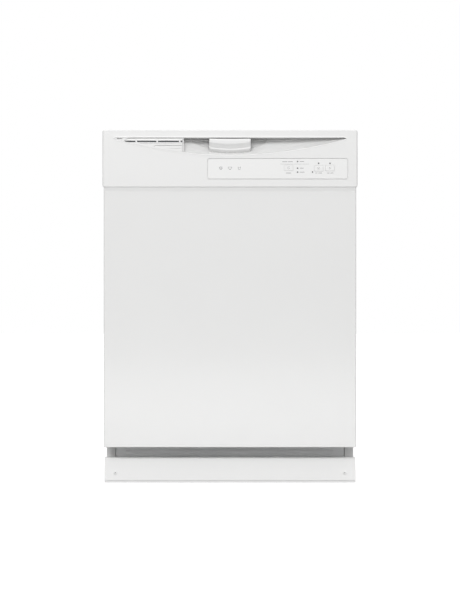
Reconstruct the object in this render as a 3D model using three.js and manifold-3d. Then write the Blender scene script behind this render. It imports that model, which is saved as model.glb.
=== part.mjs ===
// Built-in dishwasher, 24 inch class, front controls, plastic pocket handle.
// Millimetres. +X right, +Y towards the wall behind, +Z up. The origin is on the floor, in the
// middle of the footprint. Every mesh is one loose piece of the machine.
import * as THREE from 'three';
import { mergeVertices } from 'three/addons/utils/BufferGeometryUtils.js';
import Module from 'manifold-3d';

const wasm = await Module();
wasm.setup();

// ---------------------------------------------------------------- driving dimensions
const WIDTH = 610;
const HEIGHT = 848;
const DEPTH = 610;
const GAP = 0.3; // running gap between neighbouring pieces
const FRONT = -DEPTH / 2;
const BACK = DEPTH / 2;

const CONSOLE = { bottom: 711, back: -263, wall: 3, face: 4, corner: 6 };
const POCKET = {
  top: 830.8, low: 787.8, radius: 1025, flatHalf: 274, tipHalf: 280,
  depth: 37, scoopHeight: 45, shell: 3, fingerHalf: 93, fingerHeight: 27, divider: -110,
};
const INSET = { left: -54, right: 282, low: 729.8, high: 779.8, corner: 5, deep: 1.8 };
const DOOR = { half: 302, bottom: 88.5, top: CONSOLE.bottom - GAP, front: -300, sheet: 2, back: -264 };
const HINGE = { y: -268, z: 118, pin: 4 };
const LINER = { half: 281.5, bottom: 103, top: 844, front: -262, back: -246, wall: 2.5 };
const RAISED = { half: 245, low: 212, high: 800, back: -236 };
const TUB = { half: 272, bottom: 138, top: 822, front: -240, back: 298, wall: 3, corner: 9 };
const BASE = { half: 277.5, plate: 3, bottom: 20, top: 133, front: -232 };
const TOE = { half: 302.5, top: 62, front: -252, back: -236, sheet: 2.5 };
const SPRAY = { x: 0, y: 20 }; // common axis of sump and spray arms
const RACK = { half: 249, front: -222, back: 264, wire: 4, thinner: 0.3, columns: 6, rows: 6 };
const WHEEL = { radius: 17.5, width: 8, front: -155, back: 205, x: 257 };
const LEG = { x: 250, front: -207, back: 285, shank: 5.2, pad: 20 };

// ---------------------------------------------------------------- solids
function solid(geometry) {
  geometry.deleteAttribute('normal');
  geometry.deleteAttribute('uv');
  const merged = mergeVertices(geometry, 1e-4);
  return new wasm.Manifold(new wasm.Mesh({
    numProp: 3,
    vertProperties: new Float32Array(merged.attributes.position.array),
    triVerts: new Uint32Array(merged.index.array),
  }));
}

function join(first, ...others) {
  return others.reduce((sum, other) => sum.add(other), first);
}

function cut(body, ...tools) {
  return tools.reduce((left, tool) => left.subtract(tool), body);
}

// A box from its limits along X, Y and Z.
function box([x0, x1], [y0, y1], [z0, z1]) {
  const geometry = new THREE.BoxGeometry(x1 - x0, y1 - y0, z1 - z0);
  return solid(geometry.translate((x0 + x1) / 2, (y0 + y1) / 2, (z0 + z1) / 2));
}

// The same box on both sides of the middle plane X = 0.
function boxPair([x0, x1], y, z) {
  return [box([x0, x1], y, z), box([-x1, -x0], y, z)];
}

// A cylinder along one axis ('x', 'y' or 'z'), between two stations on it; at holds the other two.
function cylinder(axis, radius, [from, to], at, sides = 14) {
  const geometry = new THREE.CylinderGeometry(radius, radius, to - from, sides);
  const middle = (from + to) / 2;
  if (axis === 'x') geometry.rotateZ(Math.PI / 2).translate(middle, at[0], at[1]);
  if (axis === 'y') geometry.translate(at[0], middle, at[1]);
  if (axis === 'z') geometry.rotateX(Math.PI / 2).translate(at[0], at[1], middle);
  return solid(geometry);
}

function extruded(shape, depth, curveSegments) {
  return new THREE.ExtrudeGeometry(shape, { depth, bevelEnabled: false, curveSegments });
}

// An outline in X and Z, pushed through from y0 to y1.
function frontPrism(shape, [y0, y1], curveSegments = 6) {
  return solid(extruded(shape, y1 - y0, curveSegments).rotateX(Math.PI / 2).translate(0, y1, 0));
}

// A profile in Y and Z, pushed through from x0 to x1.
function sidePrism(shape, [x0, x1], curveSegments = 6) {
  const turn = new THREE.Matrix4().makeBasis(
    new THREE.Vector3(0, 1, 0), new THREE.Vector3(0, 0, 1), new THREE.Vector3(1, 0, 0),
  );
  return solid(extruded(shape, x1 - x0, curveSegments).applyMatrix4(turn).translate(x0, 0, 0));
}

// A plan in X and Y, pushed up from z0 to z1.
function planPrism(shape, [z0, z1], curveSegments = 6) {
  return solid(extruded(shape, z1 - z0, curveSegments).translate(0, 0, z0));
}

function polygon(points) {
  return new THREE.Shape(points.map(([a, b]) => new THREE.Vector2(a, b)));
}

function roundedRect([a0, a1], [b0, b1], r) {
  const shape = new THREE.Shape();
  shape.moveTo(a0 + r, b0).lineTo(a1 - r, b0);
  shape.absarc(a1 - r, b0 + r, r, -Math.PI / 2, 0, false);
  shape.absarc(a1 - r, b1 - r, r, 0, Math.PI / 2, false);
  shape.absarc(a0 + r, b1 - r, r, Math.PI / 2, Math.PI, false);
  shape.absarc(a0 + r, b0 + r, r, Math.PI, Math.PI * 1.5, false);
  return shape;
}

// A body of revolution about a vertical axis; the profile holds [radius, height] pairs.
function turned(profile, at, sides = 20) {
  const points = profile.map(([radius, height]) => new THREE.Vector2(radius, height));
  const geometry = new THREE.LatheGeometry([...points, points[0].clone()], sides);
  return solid(geometry.rotateX(Math.PI / 2).translate(at[0], at[1], 0));
}

// ---------------------------------------------------------------- materials
function paint(color, roughness, metalness = 0) {
  return new THREE.MeshStandardMaterial({ color, roughness, metalness });
}

const WHITE_PLASTIC = paint(0xeeeeec, 0.35);
const WHITE_PAINT = paint(0xececea, 0.3);
const GREY_PLASTIC = paint(0xb9bcbe, 0.5);
const DARK_PLASTIC = paint(0x3b3e42, 0.6);
const LIGHT_LENS = paint(0x55585c, 0.3);
const STEEL = paint(0xb5b8ba, 0.35, 1);
const ZINC = paint(0x9ea2a5, 0.5, 0.9);
const RUBBER = paint(0x2b2c2e, 0.85);
const FELT = paint(0x4a4c50, 0.95);
const RACK_COAT = paint(0xc9ccd0, 0.45);
const CIRCUIT = paint(0x2f6b45, 0.6);

const dishwasher = new THREE.Group();

function add(name, body, material) {
  const mesh = body.getMesh();
  const geometry = new THREE.BufferGeometry();
  geometry.setAttribute('position', new THREE.BufferAttribute(new Float32Array(mesh.vertProperties), 3));
  geometry.setIndex(new THREE.BufferAttribute(new Uint32Array(mesh.triVerts), 1));
  geometry.computeVertexNormals();
  const part = new THREE.Mesh(geometry, material);
  part.name = name;
  dishwasher.add(part);
}

// Calls make(side, name) for the left (-1) and the right (+1) piece.
function onBothSides(make) {
  make(-1, 'left');
  make(1, 'right');
}

// Orders a pair of X limits after they were mirrored.
function spanX(side, inner, outer) {
  return side < 0 ? [-outer, -inner] : [inner, outer];
}

// ---------------------------------------------------------------- base frame, legs and toe space
function baseSide(side) {
  const inner = BASE.half;
  const outer = BASE.half + BASE.plate;
  const plate = box(spanX(side, inner, outer), [BASE.front, BACK], [BASE.bottom, BASE.top]);
  const ear = box(spanX(side, inner, outer), [-284, BASE.front + 1], [100, BASE.top]);
  const toeFlange = box(spanX(side, inner, 298.5), [-234, -231], [14, 88]);
  const screwTab = box(spanX(side, 266, outer), [-234, -231], [14, 50]);
  const foot = box(spanX(side, 262, outer), [-180, 260], [BASE.bottom, 23]);
  const hingeStud = cylinder('x', HINGE.pin, spanX(side, inner, 290), [HINGE.y, HINGE.z], 16);
  const springStud = cylinder('x', 3, spanX(side, inner, 298), [-60, 45], 12);
  const screwHole = cylinder('y', 2.6, [-236, -229], [side * 277, 25], 12);
  const screwRoom = box(spanX(side, inner - 1, outer + 1), [-231, -222], [17, 33]);
  const pressed = join(plate, ear, toeFlange, screwTab, foot, hingeStud, springStud);
  return cut(pressed, screwHole, screwRoom);
}

function crossMember([y0, y1], webAtBack) {
  const flange = 3;
  const web = webAtBack ? [y1 - flange, y1] : [y0, y0 + flange];
  const x = [-BASE.half + GAP, BASE.half - GAP];
  return join(
    box(x, web, [40, TUB.bottom - 0.5]),
    box(x, [y0, y1], [40, 40 + flange]),
    box(x, [y0, y1], [TUB.bottom - 0.5 - flange, TUB.bottom - 0.5]),
  );
}

function withLegNuts(member, y) {
  const holes = [-LEG.x, LEG.x].map((x) => cylinder('z', LEG.shank + 0.4, [30, 60], [x, y], 14));
  const nuts = [-LEG.x, LEG.x].map((x) => cylinder('z', 10, [42, 52], [x, y], 6));
  return cut(join(member, ...nuts), ...holes);
}

function levellingLeg(x, y) {
  const padTop = 9;
  return turned([
    [0, 0], [LEG.pad - 2, 0], [LEG.pad, 2], [LEG.pad, padTop - 2], [LEG.pad - 3, padTop],
    [LEG.shank, padTop + 1], [LEG.shank, 94], [0, 95],
  ], [x, y], 12);
}

function toePanel() {
  const { half, top, front, back, sheet } = TOE;
  const lip = 4;
  const profile = new THREE.Shape();
  profile.moveTo(front + 2, 0).lineTo(front + 2, 5).lineTo(front, 5).lineTo(front, top - lip);
  profile.absarc(front + lip, top - lip, lip, Math.PI, Math.PI / 2, true);
  profile.lineTo(back, top).lineTo(back, top - sheet).lineTo(front + 5, top - sheet);
  profile.lineTo(front + 5, 0);
  const panel = sidePrism(profile, [-half, half]);
  const ends = boxPair([half - sheet, half], [front + 3, back], [6, top - 1]);
  const bosses = [-277, 277].map((x) => cylinder('y', 7, [front + 3, -234 - GAP], [x, 25], 14));
  const holes = [-277, 277].map((x) => cylinder('y', 2.6, [front - 5, back + 5], [x, 25], 12));
  return cut(join(panel, ...ends, ...bosses), ...holes);
}

function toeScrew(x) {
  const head = cylinder('y', 4.5, [TOE.front - 2.6, TOE.front - GAP], [x, 25], 14);
  const slot = box([x - 3, x + 3], [TOE.front - 3, TOE.front - 1.8], [24.4, 25.6]);
  const shank = cylinder('y', 2.2, [TOE.front - 1, -226], [x, 25], 10);
  return cut(join(head, shank), slot);
}

onBothSides((side, name) => add(`base_side_${name}`, baseSide(side), ZINC));
add('base_cross_front', withLegNuts(crossMember([-225, -190], true), LEG.front), ZINC);
add('base_cross_rear', cut(
  withLegNuts(crossMember([268, BACK - GAP], true), LEG.back),
  box([-24, 24], [260, 298], [120, 140]),
), ZINC);
for (const [name, x, y] of [
  ['front_left', -LEG.x, LEG.front], ['front_right', LEG.x, LEG.front],
  ['rear_left', -LEG.x, LEG.back], ['rear_right', LEG.x, LEG.back],
]) {
  add(`leg_${name}`, levellingLeg(x, y), ZINC);
}
add('toe_panel', toePanel(), WHITE_PAINT);
onBothSides((side, name) => add(`toe_screw_${name}`, toeScrew(side * 277), STEEL));
add('access_panel', box([-270, 270], [-230.7, -228.7], [14, 96]), GREY_PLASTIC);

// ---------------------------------------------------------------- tub and what is fixed to it
const CAVITY = {
  half: TUB.half - TUB.wall, floor: TUB.bottom + TUB.wall, ceiling: TUB.top - TUB.wall,
  back: TUB.back - TUB.wall,
};
const FEED = { half: 20, front: 280.5, back: CAVITY.back - GAP, bottom: 120, top: 815 };
const FLOAT_AT = [-215, -165];
const HEATER = { radius: 175, tube: 4, z: 151.5, end: 25 };
const HEATER_END_Y = SPRAY.y + Math.sqrt(HEATER.radius ** 2 - HEATER.end ** 2);

function tub() {
  const shell = frontPrism(
    roundedRect([-TUB.half, TUB.half], [TUB.bottom, TUB.top], TUB.corner), [TUB.front, TUB.back], 4,
  );
  const flange = frontPrism(roundedRect([-276, 276], [134, 828], 14), [TUB.front, TUB.front + 3], 4);
  const room = frontPrism(
    roundedRect([-CAVITY.half, CAVITY.half], [CAVITY.floor, CAVITY.ceiling], TUB.corner - TUB.wall),
    [TUB.front - 5, CAVITY.back], 4,
  );
  const sumpHole = cylinder('z', 88.5, [130, 150], [SPRAY.x, SPRAY.y], 20);
  const feedHole = box([-FEED.half - GAP, FEED.half + GAP], [FEED.front - GAP, 295], [130, 145]);
  const floatHole = cylinder('z', 5.5, [130, 150], FLOAT_AT, 12);
  const heaterHoles = [-HEATER.end, HEATER.end].map(
    (x) => cylinder('z', HEATER.tube + 0.8, [130, 150], [x, HEATER_END_Y], 10),
  );
  return cut(join(shell, flange), room, sumpHole, feedHole, floatHole, ...heaterHoles);
}

function tubGasket() {
  const outer = roundedRect([-275, 275], [136, 826], 16);
  const inner = roundedRect([-267, 267], [100, 811], 12);
  const y = [LINER.back + GAP, TUB.front - GAP];
  return cut(frontPrism(outer, y, 4), frontPrism(inner, [-250, -235], 4));
}

function insulationBlanket() {
  const outer = box([-284, 284], [-190, 290], [195, 834]);
  const inner = box([-TUB.half - GAP, TUB.half + GAP], [-200, 300], [180, TUB.top + GAP]);
  return cut(outer, inner);
}

function counterBracket(side) {
  const profile = polygon([
    [-234, 822.3], [-204, 822.3], [-204, 825], [-231.5, 825], [-231.5, 845.5], [-195, 845.5],
    [-195, HEIGHT], [-234, HEIGHT],
  ]);
  const plate = sidePrism(profile, spanX(side, 200, 235));
  const screwHole = cylinder('z', 3, [840, 850], [side * 217.5, -208], 12);
  return cut(plate, screwHole);
}

function latchStrike() {
  return join(
    ...boxPair([12, 34], [-236, -214], [822.3, 825]),
    ...boxPair([12, 15], [-232, -229], [824, 846]),
    box([-15, 15], [-232, -229], [842.3, 846]),
  );
}

add('tub', tub(), GREY_PLASTIC);
add('tub_gasket', tubGasket(), RUBBER);
add('insulation_blanket', insulationBlanket(), FELT);
onBothSides((side, name) => add(`counter_bracket_${name}`, counterBracket(side), ZINC));
add('latch_strike', latchStrike(), STEEL);

// ---------------------------------------------------------------- water system
const SUMP = { radius: 88, rim: 96, bottom: 62, rimTop: 144, post: 13, postTop: 157.5 };
const FILTER_AT = [SPRAY.x, SPRAY.y + 56];

function sump() {
  const { radius, rim, bottom, rimTop, post, postTop } = SUMP;
  return turned([
    [0, bottom], [radius, bottom], [radius, 141.3], [rim, 141.3], [rim, rimTop], [radius - 3, rimTop],
    [radius - 3, bottom + 3], [post, bottom + 3], [post, postTop], [0, postTop],
  ], [SPRAY.x, SPRAY.y]);
}

function filterPlate() {
  const plate = cylinder('z', SUMP.rim - 4, [SUMP.rimTop + GAP, SUMP.rimTop + 2.8], [SPRAY.x, SPRAY.y], 20);
  const postHole = cylinder('z', SUMP.post + 0.5, [140, 150], [SPRAY.x, SPRAY.y], 14);
  const filterHole = cylinder('z', 27.5, [140, 150], FILTER_AT, 14);
  return cut(plate, postHole, filterHole);
}

function filterCylinder() {
  const cup = turned([[0, 76], [26, 76], [26, 152], [23, 152], [23, 79], [0, 79]], FILTER_AT, 14);
  const [x, y] = FILTER_AT;
  const grip = box([x - 23.5, x + 23.5], [y - 2, y + 2], [128, 152]);
  return join(cup, grip);
}

function circulationPump() {
  const at = [SPRAY.y, 95];
  return join(
    cylinder('x', 37, [-150, -91], at, 20),
    cylinder('x', 28, [-235, -149], at, 16),
    box([-142, -98], [SPRAY.y - 20, SPRAY.y + 20], [52, 70]),
  );
}

function drainPump() {
  return join(
    cylinder('x', 24, [91, 150], [SPRAY.y, 86], 18),
    cylinder('x', 17, [149, 178], [SPRAY.y, 86], 14),
    cylinder('y', 9, [SPRAY.y, SPRAY.y + 70], [118, 96], 12),
  );
}

function inletValve() {
  return join(
    box([-277, -225], [-150, -105], [70, 112]),
    cylinder('z', 10, [42, 71], [-248, -128], 14),
    cylinder('z', 14, [40, 50], [-248, -128], 6),
    cylinder('y', 8, [-106, -80], [-250, 92], 12),
  );
}

function junctionBox() {
  const shell = box([200, 277], [-160, -95], [40, 100]);
  const room = box([203, 274], [-157, -98], [43, 97.5]);
  const cableHole = cylinder('y', 11, [-105, -90], [238, 70], 16);
  return cut(shell, room, cableHole);
}

function heatingElement() {
  const { radius, z, end } = HEATER;
  const startAngle = Math.PI / 2 - Math.asin(end / radius);
  const y = HEATER_END_Y;
  const points = [new THREE.Vector3(end, y, 124), new THREE.Vector3(end, y, z - 10)];
  const turns = 22;
  for (let i = 0; i <= turns; i += 1) {
    const angle = startAngle - ((Math.PI + 2 * startAngle) * i) / turns;
    points.push(new THREE.Vector3(radius * Math.cos(angle), SPRAY.y + radius * Math.sin(angle), z));
  }
  points.push(new THREE.Vector3(-end, y, z - 10), new THREE.Vector3(-end, y, 124));
  const section = new THREE.Shape().absarc(0, 0, HEATER.tube, 0, Math.PI * 2);
  return solid(new THREE.ExtrudeGeometry(section, {
    extrudePath: new THREE.CatmullRomCurve3(points, false, 'centripetal'),
    steps: 38, curveSegments: 3, bevelEnabled: false,
  }));
}

function floatDome() {
  return turned([
    [0, 120], [3.5, 120], [3.5, 141.5], [22, 141.5], [22, 155], [16, 160], [0, 161],
  ], FLOAT_AT, 16);
}

function feedTube() {
  const riser = box([-FEED.half, FEED.half], [FEED.front, FEED.back], [FEED.bottom, FEED.top]);
  const ceiling = box([-FEED.half, FEED.half], [SPRAY.y, FEED.back], [803, FEED.top]);
  const head = cylinder('z', 32, [792, 812], [SPRAY.x, SPRAY.y], 20);
  const port = cylinder('y', 11, [270, FEED.front + 1], [0, 456], 14);
  return join(riser, ceiling, head, port);
}

function sprayArm(reach, [z0, z1], hub, [hubLow, hubHigh]) {
  const blade = new THREE.Shape();
  blade.moveTo(-reach + 12, -15).lineTo(0, -24).lineTo(reach - 26, -14);
  blade.absarc(reach - 14, 0, 14, -Math.PI / 2, Math.PI / 2, false);
  blade.lineTo(0, 24).lineTo(-reach + 26, 14);
  blade.absarc(-reach + 14, 0, 14, Math.PI / 2, Math.PI * 1.5, false);
  const arm = planPrism(blade, [z0, z1]).translate([SPRAY.x, SPRAY.y, 0]);
  return join(arm, cylinder('z', hub, [hubLow, hubHigh], [SPRAY.x, SPRAY.y], 20));
}

add('sump', sump(), DARK_PLASTIC);
add('filter_plate', filterPlate(), STEEL);
add('filter_cylinder', filterCylinder(), GREY_PLASTIC);
add('circulation_pump', circulationPump(), DARK_PLASTIC);
add('drain_pump', drainPump(), DARK_PLASTIC);
add('inlet_valve', inletValve(), GREY_PLASTIC);
add('junction_box', junctionBox(), ZINC);
add('heating_element', heatingElement(), STEEL);
add('float', floatDome(), GREY_PLASTIC);
add('feed_tube', feedTube(), GREY_PLASTIC);
add('lower_spray_arm', sprayArm(225, [158.5, 166], 20, [157.8, 170]), GREY_PLASTIC);

// ---------------------------------------------------------------- racks
const LOWER = { floor: 172, rim: 335 };
const UPPER = { floor: 478, rim: 600 };
const RAIL = { inner: 262, outer: CAVITY.half - GAP, low: 548, high: 570, slot: [553, 565] };

// A wire basket: U-shaped wires in both directions under one rim. The crosswise wires are thinner.
function wireBasket({ floor, rim }) {
  const { half, front, back, wire, thinner, columns, rows } = RACK;
  const lengthwise = polygon([
    [front, rim], [front, floor], [back, floor], [back, rim], [back - wire, rim],
    [back - wire, floor + wire], [front + wire, floor + wire], [front + wire, rim],
  ]);
  const side = half - thinner;
  const low = floor + thinner;
  const high = floor + wire - thinner;
  const crosswise = polygon([
    [-side, rim], [-side, low], [side, low], [side, rim], [half - wire, rim],
    [half - wire, high], [-half + wire, high], [-half + wire, rim],
  ]);
  const wires = [];
  for (let i = 1; i < columns; i += 1) {
    const x = -half + (2 * half * i) / columns;
    wires.push(sidePrism(lengthwise, [x - wire / 2, x + wire / 2]));
  }
  for (let i = 1; i < rows; i += 1) {
    const y = front + ((back - front) * i) / rows;
    wires.push(frontPrism(crosswise, [y - wire / 2, y + wire / 2]));
  }
  const rimBar = cut(
    box([-half, half], [front, back], [rim - wire, rim + 1]),
    box([-half + wire, half - wire], [front + wire, back - wire], [rim - 10, rim + 10]),
  );
  return join(rimBar, ...wires);
}

const WHEELS = [
  ['front_left', -1, WHEEL.front], ['front_right', 1, WHEEL.front],
  ['rear_left', -1, WHEEL.back], ['rear_right', 1, WHEEL.back],
];
const WHEEL_Z = CAVITY.floor + 1.5 + WHEEL.radius;

function lowerRack() {
  const half = RACK.half;
  const hangers = WHEELS.map(([, side, y]) => join(
    box(spanX(side, half - RACK.wire, half), [y - 8, y + 8], [WHEEL_Z - 6, 200]),
    box(spanX(side, half - RACK.wire, half), [y - 50, y + 50], [LOWER.floor, LOWER.floor + 8]),
    cylinder('x', 3.6, spanX(side, half - 1, WHEEL.x + WHEEL.width / 2), [y, WHEEL_Z], 12),
  ));
  return join(wireBasket(LOWER), ...hangers);
}

function rackWheel(side, y) {
  const x = spanX(side, WHEEL.x - WHEEL.width / 2, WHEEL.x + WHEEL.width / 2);
  const rim = cylinder('x', WHEEL.radius, x, [y, WHEEL_Z], 18);
  return cut(rim, cylinder('x', 4.1, [x[0] - 1, x[1] + 1], [y, WHEEL_Z], 12));
}

function upperRack() {
  const runners = boxPair([RACK.half - 1, RAIL.outer - 2.7], [-195, 236], [555, 563]);
  const sideBars = boxPair([RACK.half - RACK.wire, RACK.half], [-200, 245], [555, 563]);
  return join(wireBasket(UPPER), ...sideBars, ...runners);
}

function rackRail(side) {
  const y = [-225, 240];
  const bar = box(spanX(side, RAIL.inner, RAIL.outer), y, [RAIL.low, RAIL.high]);
  return cut(bar, box(spanX(side, RAIL.inner - 1, RAIL.outer - 2), [-230, 238], RAIL.slot));
}

function upperSprayManifold() {
  return join(
    box([-13, 13], [SPRAY.y, 262], [458, 470]),
    cylinder('y', 13, [250, 269], [0, 456], 14),
    cylinder('z', 17, [447, 470], [SPRAY.x, SPRAY.y], 16),
  );
}

function cutleryBasket() {
  const shell = box([178, 238], [-170, 65], [178.5, 296]);
  const cells = [-167.5, -90, -12.5].map((y) => box([180.5, 235.5], [y, y + 75], [181, 300]));
  const handle = cut(
    box([206, 210], [-95.5, -13], [290, 322]),
    box([200, 216], [-85.5, -23], [296, 314]),
  );
  return join(cut(shell, ...cells), handle);
}

add('lower_rack', lowerRack(), RACK_COAT);
for (const [name, side, y] of WHEELS) {
  add(`rack_wheel_${name}`, rackWheel(side, y), GREY_PLASTIC);
}
add('cutlery_basket', cutleryBasket(), GREY_PLASTIC);
onBothSides((side, name) => add(`rack_rail_${name}`, rackRail(side), STEEL));
add('upper_rack', upperRack(), RACK_COAT);
add('upper_spray_manifold', upperSprayManifold(), GREY_PLASTIC);
add('upper_spray_arm', sprayArm(195, [437, 444], 15, [436, 446.7]), GREY_PLASTIC);

// ---------------------------------------------------------------- door shell
const VENT_AT = [-180, 745];
const DISPENSER = { left: -95, right: 85, low: 352, high: 452 };

function doorOuterPanel() {
  const { half, bottom, top, front, sheet, back } = DOOR;
  const plan = new THREE.Shape();
  const r = 4;
  plan.moveTo(-half, back).lineTo(-half, front + r);
  plan.absarc(-half + r, front + r, r, Math.PI, Math.PI * 1.5, false);
  plan.absarc(half - r, front + r, r, Math.PI * 1.5, Math.PI * 2, false);
  plan.lineTo(half, back).lineTo(half - sheet, back).lineTo(half - sheet, front + r);
  plan.lineTo(half - r, front + sheet).lineTo(-half + r, front + sheet);
  plan.lineTo(-half + sheet, front + r).lineTo(-half + sheet, back);
  const skin = planPrism(plan, [bottom, top], 4);
  const bottomReturn = box([-274, 274], [front + 1, back], [bottom, bottom + sheet]);
  const topReturn = box([-half + 1, half - 1], [front + 1, -270], [top - sheet, top]);
  return join(skin, bottomReturn, topReturn);
}

function doorInnerLiner() {
  const { half, bottom, top, front, back, wall } = LINER;
  const pan = frontPrism(roundedRect([-half, half], [bottom, top], 8), [front, back], 3);
  const raised = frontPrism(
    roundedRect([-RAISED.half, RAISED.half], [RAISED.low, RAISED.high], 20), [back - 1, RAISED.back], 3,
  );
  const panRoom = box(
    [-half + wall, half - wall], [front - 1, back - wall], [bottom + wall, top - wall],
  );
  const raisedRoom = box(
    [-RAISED.half + 8, RAISED.half - 8], [back - wall - 1, RAISED.back - wall],
    [RAISED.low + 8, RAISED.high - 8],
  );
  const dispenserHole = box(
    [DISPENSER.left - 0.4, DISPENSER.right + 0.4], [-270, -230],
    [DISPENSER.low - 0.4, DISPENSER.high + 0.4],
  );
  const ventHole = cylinder('y', 34, [-260, -230], VENT_AT, 14);
  const hookNotch = box([-9, 9], [-270, -240], [826, 850]);
  const earNotches = boxPair([276, half + 5], [-270, -240], [bottom - 5, 146]);
  return cut(
    join(pan, raised), panRoom, raisedRoom, dispenserHole, ventHole, hookNotch, ...earNotches,
  );
}

function ventCover() {
  const disc = cylinder('y', 44, [RAISED.back + GAP, -229], VENT_AT, 18);
  const slots = [-20, -7, 7, 20].map(
    (dz) => box([VENT_AT[0] - 26, VENT_AT[0] + 26], [-240, -225], [VENT_AT[1] + dz - 3, VENT_AT[1] + dz + 3]),
  );
  return cut(disc, ...slots);
}

function hingeArm(side) {
  const x = spanX(side, 283, 286.5);
  const upright = box(x, [-284, -264], [HINGE.z, 300]);
  const lobe = cylinder('x', 13, x, [HINGE.y, HINGE.z], 14);
  const lever = box(x, [HINGE.y, -203], [HINGE.z - 8, HINGE.z + 8]);
  const stud = cylinder('x', 3, spanX(side, 285, 298), [-209, HINGE.z], 12);
  const bore = cylinder('x', HINGE.pin + GAP, [x[0] - 1, x[1] + 1], [HINGE.y, HINGE.z], 16);
  return cut(join(upright, lobe, lever, stud), bore);
}

// The coil as one plain rod of its outer size, from the hinge arm's stud to the base side's stud.
function doorSpring(side) {
  const from = new THREE.Vector2(-209, HINGE.z);
  const to = new THREE.Vector2(-60, 45);
  const along = to.clone().sub(from).normalize();
  const start = from.clone().addScaledVector(along, 3.5);
  const end = to.clone().addScaledVector(along, -3.5);
  const length = start.distanceTo(end);
  const middle = start.clone().add(end).multiplyScalar(0.5);
  const rod = new THREE.CylinderGeometry(5, 5, length, 12);
  rod.rotateX(Math.atan2(along.y, along.x));
  return solid(rod.translate(side * 293, middle.x, middle.y));
}

add('door_outer_panel', doorOuterPanel(), WHITE_PAINT);
add('door_inner_liner', doorInnerLiner(), GREY_PLASTIC);
add('vent_cover', ventCover(), GREY_PLASTIC);
onBothSides((side, name) => add(`hinge_arm_${name}`, hingeArm(side), ZINC));
onBothSides((side, name) => add(`door_spring_${name}`, doorSpring(side), STEEL));

// ---------------------------------------------------------------- dispenser
function dispenserBody() {
  const { left, right, low, high } = DISPENSER;
  const flange = box([left - 6, right + 6], [RAISED.back + GAP, -232], [low - 6, high + 6]);
  const body = box([left, right], [-278, -235], [low, high]);
  const cup = box([left + 10, -8], [-264, -230], [low + 12, high - 12]);
  return cut(join(flange, body), cup);
}

function dispenserLid() {
  const lid = frontPrism(roundedRect([-93, 1], [358, 442], 6), [-231.7, -229], 3);
  return join(lid, box([-70, -22], [-230, -225.5], [430, 436]));
}

function rinseAidCap() {
  const disc = cylinder('y', 17, [-231.7, -228], [45, 402], 20);
  return join(disc, box([30, 60], [-229, -225.5], [399.5, 404.5]));
}

add('dispenser_body', dispenserBody(), GREY_PLASTIC);
add('dispenser_lid', dispenserLid(), GREY_PLASTIC);
add('rinse_aid_cap', rinseAidCap(), DARK_PLASTIC);

// ---------------------------------------------------------------- console
// The pocket's outline: a straight top edge over one long flat arc, grown outwards by grow.
function pocketOutline(grow = 0) {
  const radius = POCKET.radius + grow;
  const tip = POCKET.tipHalf + 1.6 * grow;
  const centre = POCKET.low + POCKET.radius;
  const swing = Math.asin(tip / radius);
  const shape = new THREE.Shape();
  shape.moveTo(-POCKET.flatHalf - grow, POCKET.top + grow);
  shape.lineTo(POCKET.flatHalf + grow, POCKET.top + grow);
  shape.absarc(0, centre, radius, -Math.PI / 2 + swing, -Math.PI / 2 - swing, true);
  return shape;
}

// A quarter ellipse that curves back and up, seen from the side.
function scoopProfile(grow = 0) {
  const shape = new THREE.Shape();
  const top = POCKET.top + grow;
  const mouth = FRONT - 3;
  shape.moveTo(mouth, top).lineTo(mouth, POCKET.top - POCKET.scoopHeight - grow);
  shape.lineTo(FRONT, POCKET.top - POCKET.scoopHeight - grow);
  shape.absellipse(
    FRONT, POCKET.top, POCKET.depth + grow, POCKET.scoopHeight + grow, -Math.PI / 2, 0, false, 0,
  );
  shape.lineTo(FRONT + POCKET.depth + grow, top);
  return shape;
}

function fingerHollow(grow, y) {
  const shape = new THREE.Shape();
  const a = POCKET.fingerHalf + grow;
  const b = POCKET.fingerHeight + grow;
  shape.moveTo(a, POCKET.top + grow).lineTo(-a, POCKET.top + grow).lineTo(-a, POCKET.top);
  shape.absellipse(0, POCKET.top, a, b, Math.PI, Math.PI * 2, false, 0);
  return frontPrism(shape, y, 7);
}

function pocketSolid(grow, y) {
  return frontPrism(pocketOutline(grow), y, 8)
    .intersect(sidePrism(scoopProfile(grow), [-300, 300], 5));
}

const KEYS = [
  ['key_cycle', 140, 756.8], ['key_heated_dry', 212, 755.8], ['key_start', 239, 756.3],
];
const KEY = { half: 10.7, tall: 7, flange: 2.2, hole: GAP };
const LIGHTS = [
  [161.6, 772.2], [161.6, 756.2], [161.6, 746.6], [197.4, 747.1], [212, 767.9], [239, 767.9],
];
const LATCH = { half: 50, pivotY: -295.5, pivotZ: 825.5, pin: 2, lugs: [38, 42] };
const HOOK = { half: 6, pivotY: -270, pivotZ: 837, pin: 2 };

function keyHole([, x, z], y) {
  return box(
    [x - KEY.half - KEY.hole, x + KEY.half + KEY.hole], y, [z - KEY.tall - KEY.hole, z + KEY.tall + KEY.hole],
  );
}

function consoleShell() {
  const { bottom, back, wall, face, corner } = CONSOLE;
  const half = WIDTH / 2;
  const outline = frontPrism(roundedRect([-half, half], [bottom, HEIGHT], corner), [FRONT, back], 4);
  const profile = sidePrism(
    roundedRect([FRONT, back + 20], [bottom, HEIGHT], corner), [-half - 1, half + 1], 4,
  );
  const room = box([-half + wall, half - wall], [FRONT + face, back + 5], [bottom + wall, HEIGHT - wall]);
  return cut(outline.intersect(profile), room);
}

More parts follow.
